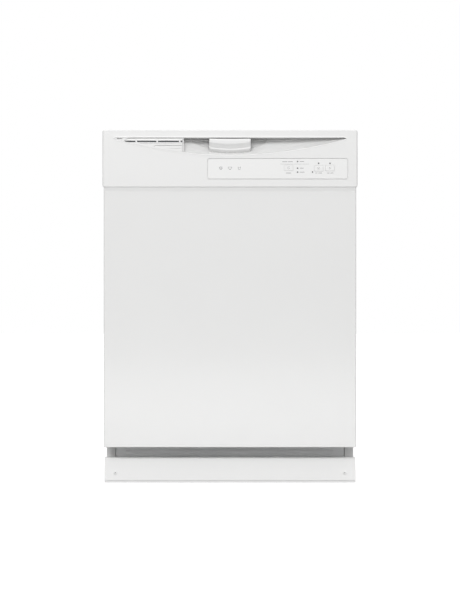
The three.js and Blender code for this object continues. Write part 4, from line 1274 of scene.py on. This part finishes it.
def upper_rack():
    """The upper basket, its tines, grip and runners."""
    limits = rack_box("upper_rack")
    low, high = box_mm("upper_rack")
    floor = low.z
    rim = high.z - 2.4
    skin = Skin()
    rack_frame(skin, limits, floor, rim, 12, 13, (rim, floor + 62))
    tines(skin, spread(-218, -172, 2) + spread(172, 218, 2), spread(-176, 230, 12), floor + 3, 58, 5)
    tines(skin, (-62.0, 62.0), spread(-176, 230, 15), floor + 3, 50, 4)
    grip = fillet([(-60, limits[2] + 3, rim - 2), (-54, limits[2] + 3, rim - 28),
                   (54, limits[2] + 3, rim - 28), (60, limits[2] + 3, rim - 2)], 10, 4)
    tube(skin, grip, 2.2, 8)
    skin.make("upper_rack_wires", NYLON, "upper_rack", ["upper_rack"], sharp=70)
    runners = Skin()
    for side in (-1, 1):
        x0, x1 = sorted((side * 247, side * 266))
        section = rounded_outline(x0, x1, 555, 563, 2.2, 3)
        runners.loft([[(a, y, b) for a, b in grown(section, grow)] for y, grow in
                      ((-195, -1.0), (-194, 0), (235, 0), (236, -1.0))])
        for y in (-150, 0, 150):
            inner = sorted((side * 243, side * 250))
            block = rounded_outline(y - 16, y + 16, 548, 570, 4)
            runners.loft([[(x, a, b) for a, b in block] for x in inner])
    runners.make("rack_runners", PALE_GREY, "upper_rack", sharp=35)


def rack_wheel(corner):
    """A spoked wheel with an open bore."""
    node = "rack_wheel_" + corner
    low, high = box_mm(node)
    centre = centre_of(node, "y", "z")
    x0, x1 = low.x, high.x
    radius = (high.z - low.z) / 2
    skin = Skin()
    turned(skin, "x", centre, [
        (4.2, x0), (7.2, x0), (7.8, x0 + 2.0), (13.2, x0 + 2.6), (13.8, x0 + 0.2), (radius - 0.9, x0),
        (radius, x0 + 1.0), (radius, x1 - 1.0), (radius - 0.9, x1), (13.8, x1 - 0.2), (13.2, x1 - 2.6),
        (7.8, x1 - 2.0), (7.2, x1), (4.2, x1)], 44, closed=True)
    for i in range(6):
        corners = spoke(centre, 2 * math.pi * i / 6, 7, 14.2, 1.1)
        skin.loft([[(x, p.x, p.y) for p in corners] for x in (x0 + 0.6, x1 - 0.6)])
    skin.make(node + "_rim", PALE_GREY, node, [node])


def cutlery_basket():
    """Slatted walls, a grid floor, two partitions and a carrying handle."""
    low, high = box_mm("cutlery_basket")
    x0, x1, y0, y1 = low.x, high.x, low.y, high.y
    z0, z1 = low.z, 296.0
    skin = Skin()
    wall = 2.4
    bands = [(z0, z0 + 5), (z0 + 36, z0 + 39), (z0 + 74, z0 + 77), (z1 - 7, z1)]

    def frame_ring(b0, b1, spare):
        for a0, a1, c0, c1 in ((x0, x1, y0, y0 + wall), (x0, x1, y1 - wall, y1),
                               (x0, x0 + wall, y0, y1), (x1 - wall, x1, y0, y1)):
            strip_box(skin, a0 - spare, a1 + spare, c0 - spare, c1 + spare, b0, b1)

    for b0, b1 in bands:
        frame_ring(b0, b1, 0.0)
    slat, gap = 2.6, 8.2
    y = y0 + 1
    while y < y1 - slat:
        for a0 in (x0 + 0.2, x1 - wall + 0.2):
            strip_box(skin, a0, a0 + wall - 0.4, y, y + slat, z0 + 2, z1 - 3)
        strip_box(skin, x0 + 1, x1 - 1, y + 0.3, y + slat - 0.3, z0 + 0.3, z0 + 2.4)
        y += gap
    x = x0 + 1
    while x < x1 - slat:
        for c0 in (y0 + 0.2, y0 + 77.3, y0 + 155.0, y1 - wall + 0.2):
            strip_box(skin, x, x + slat, c0, c0 + wall - 0.4, z0 + 2, z1 - 3)
        strip_box(skin, x + 0.3, x + slat - 0.3, y0 + 1, y1 - 1, z0 + 0.5, z0 + 2.6)
        x += gap
    for c0 in (y0 + 77.0, y0 + 154.8):
        for b0, b1 in bands:
            strip_box(skin, x0 + 1, x1 - 1, c0, c0 + wall, b0 + 0.1, b1 - 0.1)
    skin.make("cutlery_cage", ARM_GREY, "cutlery_basket", ["cutlery_basket"], sharp=30)
    grip = Skin()
    middle = (x0 + x1) / 2
    arch = fillet([(middle, y0 + 78.2, z1 - 12), (middle, y0 + 78.2, high.z - 2.5),
                   (middle, y0 + 156, high.z - 2.5),
                   (middle, y0 + 156, z1 - 12)], 14, 6)
    tube(grip, arch, 2.4, 10)
    grip.make("cutlery_handle", ARM_GREY, "cutlery_basket", sharp=60)


lower_rack()
upper_rack()
for corner in CORNERS:
    rack_wheel(corner)
cutlery_basket()


# ------------------------------------------------------------------ door's inner side
def rinse_cap():
    """The round cap of the rinse-aid filler."""
    low, high = box_mm("rinse_aid_cap")
    centre = centre_of("rinse_aid_cap", "x", "z")
    radius = (high.x - low.x) / 2
    skin = Skin()
    back, front = low.y, high.y
    turned(skin, "y", centre, [(radius - 2.5, back), (radius - 0.8, back + 0.3), (radius - 0.4, front - 2.2),
                               (radius - 1.2, front - 1.2), (radius - 2.6, front - 1.0)], 48)
    for i in range(24):
        angle = 2 * math.pi * i / 24
        x, z = centre[0] + (radius - 0.9) * math.cos(angle), centre[1] + (radius - 0.9) * math.sin(angle)
        turned(skin, "y", (x, z), [(0.8, back + 0.4), (0.9, front - 2.0), (0.5, front - 1.4)], 8)
    grip = [(y, grow) for y, grow in ((front - 1.6, 0.6), (front - 0.5, 0.0), (front, -0.7))]
    outline = rounded_outline(centre[0] - 12.5, centre[0] + 12.5, centre[1] - 2.6, centre[1] + 2.6, 2.5)
    skin.loft([facing_front(grown(outline, grow), y) for y, grow in grip])
    skin.make("rinse_cap_grip", DARK_MOULDED, "rinse_aid_cap", ["rinse_aid_cap"], sharp=35)


rinse_cap()


# ------------------------------------------------------------------ CAD nodes that keep their shape
def smooth_by_angle(degrees):
    """A node group that shades curved stretches smooth and keeps corners sharp."""
    group = bpy.data.node_groups.new("smooth_by_angle", "GeometryNodeTree")
    group.interface.new_socket("Geometry", in_out="INPUT", socket_type="NodeSocketGeometry")
    group.interface.new_socket("Geometry", in_out="OUTPUT", socket_type="NodeSocketGeometry")
    source, target = group.nodes.new("NodeGroupInput"), group.nodes.new("NodeGroupOutput")
    faces = group.nodes.new("GeometryNodeSetShadeSmooth")
    edges = group.nodes.new("GeometryNodeSetShadeSmooth")
    edges.domain = "EDGE"
    edges.inputs["Shade Smooth"].default_value = False
    angle = group.nodes.new("GeometryNodeInputMeshEdgeAngle")
    sharp = group.nodes.new("FunctionNodeCompare")
    sharp.operation = "GREATER_THAN"
    sharp.inputs["B"].default_value = math.radians(degrees)
    group.links.new(angle.outputs["Unsigned Angle"], sharp.inputs["A"])
    group.links.new(source.outputs[0], faces.inputs["Geometry"])
    group.links.new(faces.outputs[0], edges.inputs["Geometry"])
    group.links.new(sharp.outputs["Result"], edges.inputs["Selection"])
    group.links.new(edges.outputs[0], target.inputs[0])
    return group


SMOOTH = smooth_by_angle(33)


def keep_node(node, material, bevel):
    """A CAD node that keeps its own mesh, with rounded edges and a better surface."""
    piece = frame["nodes"][node]
    for slot in piece.material_slots:
        slot.material = material
    weld = piece.modifiers.new("weld", "WELD")
    weld.merge_threshold = 0.00001
    if bevel:
        edge = piece.modifiers.new("edge", "BEVEL")
        edge.width = bevel * MM
        edge.segments = 2
        edge.limit_method = "ANGLE"
        edge.angle_limit = math.radians(50)
    smooth = piece.modifiers.new("smooth", "NODES")
    smooth.node_group = SMOOTH


KEPT = [
    (ZINC, 0.5, ["base_cross_front", "base_cross_rear", "junction_box", "hinge_arm_left", "hinge_arm_right",
                 "counter_bracket_left", "counter_bracket_right"]),
    (FLANGE_WHITE, 0.5, ["base_side_left", "base_side_right"]),
    (STAINLESS, 0.4, ["latch_strike", "latch_hook", "rack_rail_left", "rack_rail_right"]),
    (TUB_GREY, 0.8, ["tub", "door_inner_liner", "feed_tube", "upper_spray_manifold"]),
    (PALE_GREY, 0.6, ["vent_cover", "dispenser_body", "dispenser_lid", "filter_cylinder", "inlet_valve"]),
    (DARK_MOULDED, 0.6, ["sump"]),
    (COPPER_GREEN, 0.0, ["control_board"]),
]
for kept_material, kept_bevel, kept_nodes in KEPT:
    for node in kept_nodes:
        keep_node(node, kept_material, kept_bevel)

# ------------------------------------------------------------------ camera, light, floor
PHOTO_SCALE = 2.39  # millimetres per image row at the console's face
FRAME_TALL = 613
CAMERA_AWAY = 5500.0
CAMERA_UP = 425.6


def camera():
    """The camera that matches the photo's view."""
    data = bpy.data.cameras.new("camera")
    data.sensor_width = 36.0
    data.lens = data.sensor_width * CAMERA_AWAY / (PHOTO_SCALE * FRAME_TALL)
    data.clip_end = 100.0
    eye = bpy.data.objects.new("camera", data)
    eye.location = (0.0, (CON_FRONT - CAMERA_AWAY) * MM, CAMERA_UP * MM)
    eye.rotation_euler = (math.pi / 2, 0.0, 0.0)
    bpy.context.scene.collection.objects.link(eye)
    bpy.context.scene.camera = eye


def soft_light(name, place, aim, size, power, spread=180):
    """An area light aimed at a point."""
    data = bpy.data.lights.new(name, "AREA")
    data.shape = "RECTANGLE"
    data.size, data.size_y = size
    data.energy = power
    data.spread = math.radians(spread)
    lamp = bpy.data.objects.new(name, data)
    lamp.visible_camera = False
    lamp.location = place
    lamp.rotation_euler = (Vector(aim) - Vector(place)).to_track_quat("-Z", "Y").to_euler()
    bpy.context.scene.collection.objects.link(lamp)


def world():
    """A white studio: brightest overhead, dimmer towards and below the horizon, plain white to the camera."""
    sky = bpy.data.worlds.new("studio")
    sky.use_nodes = True
    nodes, links = sky.node_tree.nodes, sky.node_tree.links
    direction = nodes.new("ShaderNodeTexCoord")
    axes = nodes.new("ShaderNodeSeparateXYZ")
    height = nodes.new("ShaderNodeMapRange")
    height.inputs["From Min"].default_value = -1.0
    links.new(direction.outputs["Generated"], axes.inputs["Vector"])
    links.new(axes.outputs["Z"], height.inputs["Value"])
    shade = ramp(nodes, links, height.outputs["Result"],
                 [(0.0, 0.28), (0.60, 0.28), (0.68, 0.95), (1.0, 0.6)])
    lighting = nodes["Background"]
    lighting.inputs["Strength"].default_value = 1.1
    links.new(shade, lighting.inputs["Color"])
    backdrop = nodes.new("ShaderNodeBackground")
    backdrop.inputs["Color"].default_value = (1.0, 1.0, 1.0, 1.0)
    seen = nodes.new("ShaderNodeLightPath")
    mixed = nodes.new("ShaderNodeMixShader")
    links.new(seen.outputs["Is Camera Ray"], mixed.inputs["Fac"])
    links.new(lighting.outputs["Background"], mixed.inputs[1])
    links.new(backdrop.outputs["Background"], mixed.inputs[2])
    links.new(mixed.outputs["Shader"], nodes["World Output"].inputs["Surface"])
    bpy.context.scene.world = sky


def floor():
    """A pale floor that is seen and takes shadows, but throws no light up under the machine."""
    mesh = bpy.data.meshes.new("floor")
    reach = 30.0
    mesh.from_pydata([(-reach, -reach, 0), (reach, -reach, 0), (reach, reach, 0), (-reach, reach, 0)],
                     [], [(0, 1, 2, 3)])
    ground = bpy.data.objects.new("floor", mesh)
    pale = surface("pale_floor", (0.95, 0.95, 0.95), 0.8, 60.0, 0.00005, vary=0.002)
    pale.node_tree.nodes["Principled BSDF"].inputs["Emission Color"].default_value = (1.0, 1.0, 1.0, 1.0)
    pale.node_tree.nodes["Principled BSDF"].inputs["Emission Strength"].default_value = 0.35
    ground.data.materials.append(pale)
    ground.visible_diffuse = False
    bpy.context.scene.collection.objects.link(ground)


camera()
world()
soft_light("key_light", (-0.3, -3.8, 2.15), (0, -0.3, 0.5), (2.8, 0.9), 86)
soft_light("low_light", (0.0, -1.9, 0.12), (0, -0.25, 0.0), (2.6, 0.24), 0.36, 60)
soft_light("overhead_light", (0.0, -0.9, 4.2), (0, -0.6, 0), (4.0, 4.0), 30)
floor()
bpy.context.scene.view_settings.view_transform = "Standard"

bpy.context.view_layer.update()
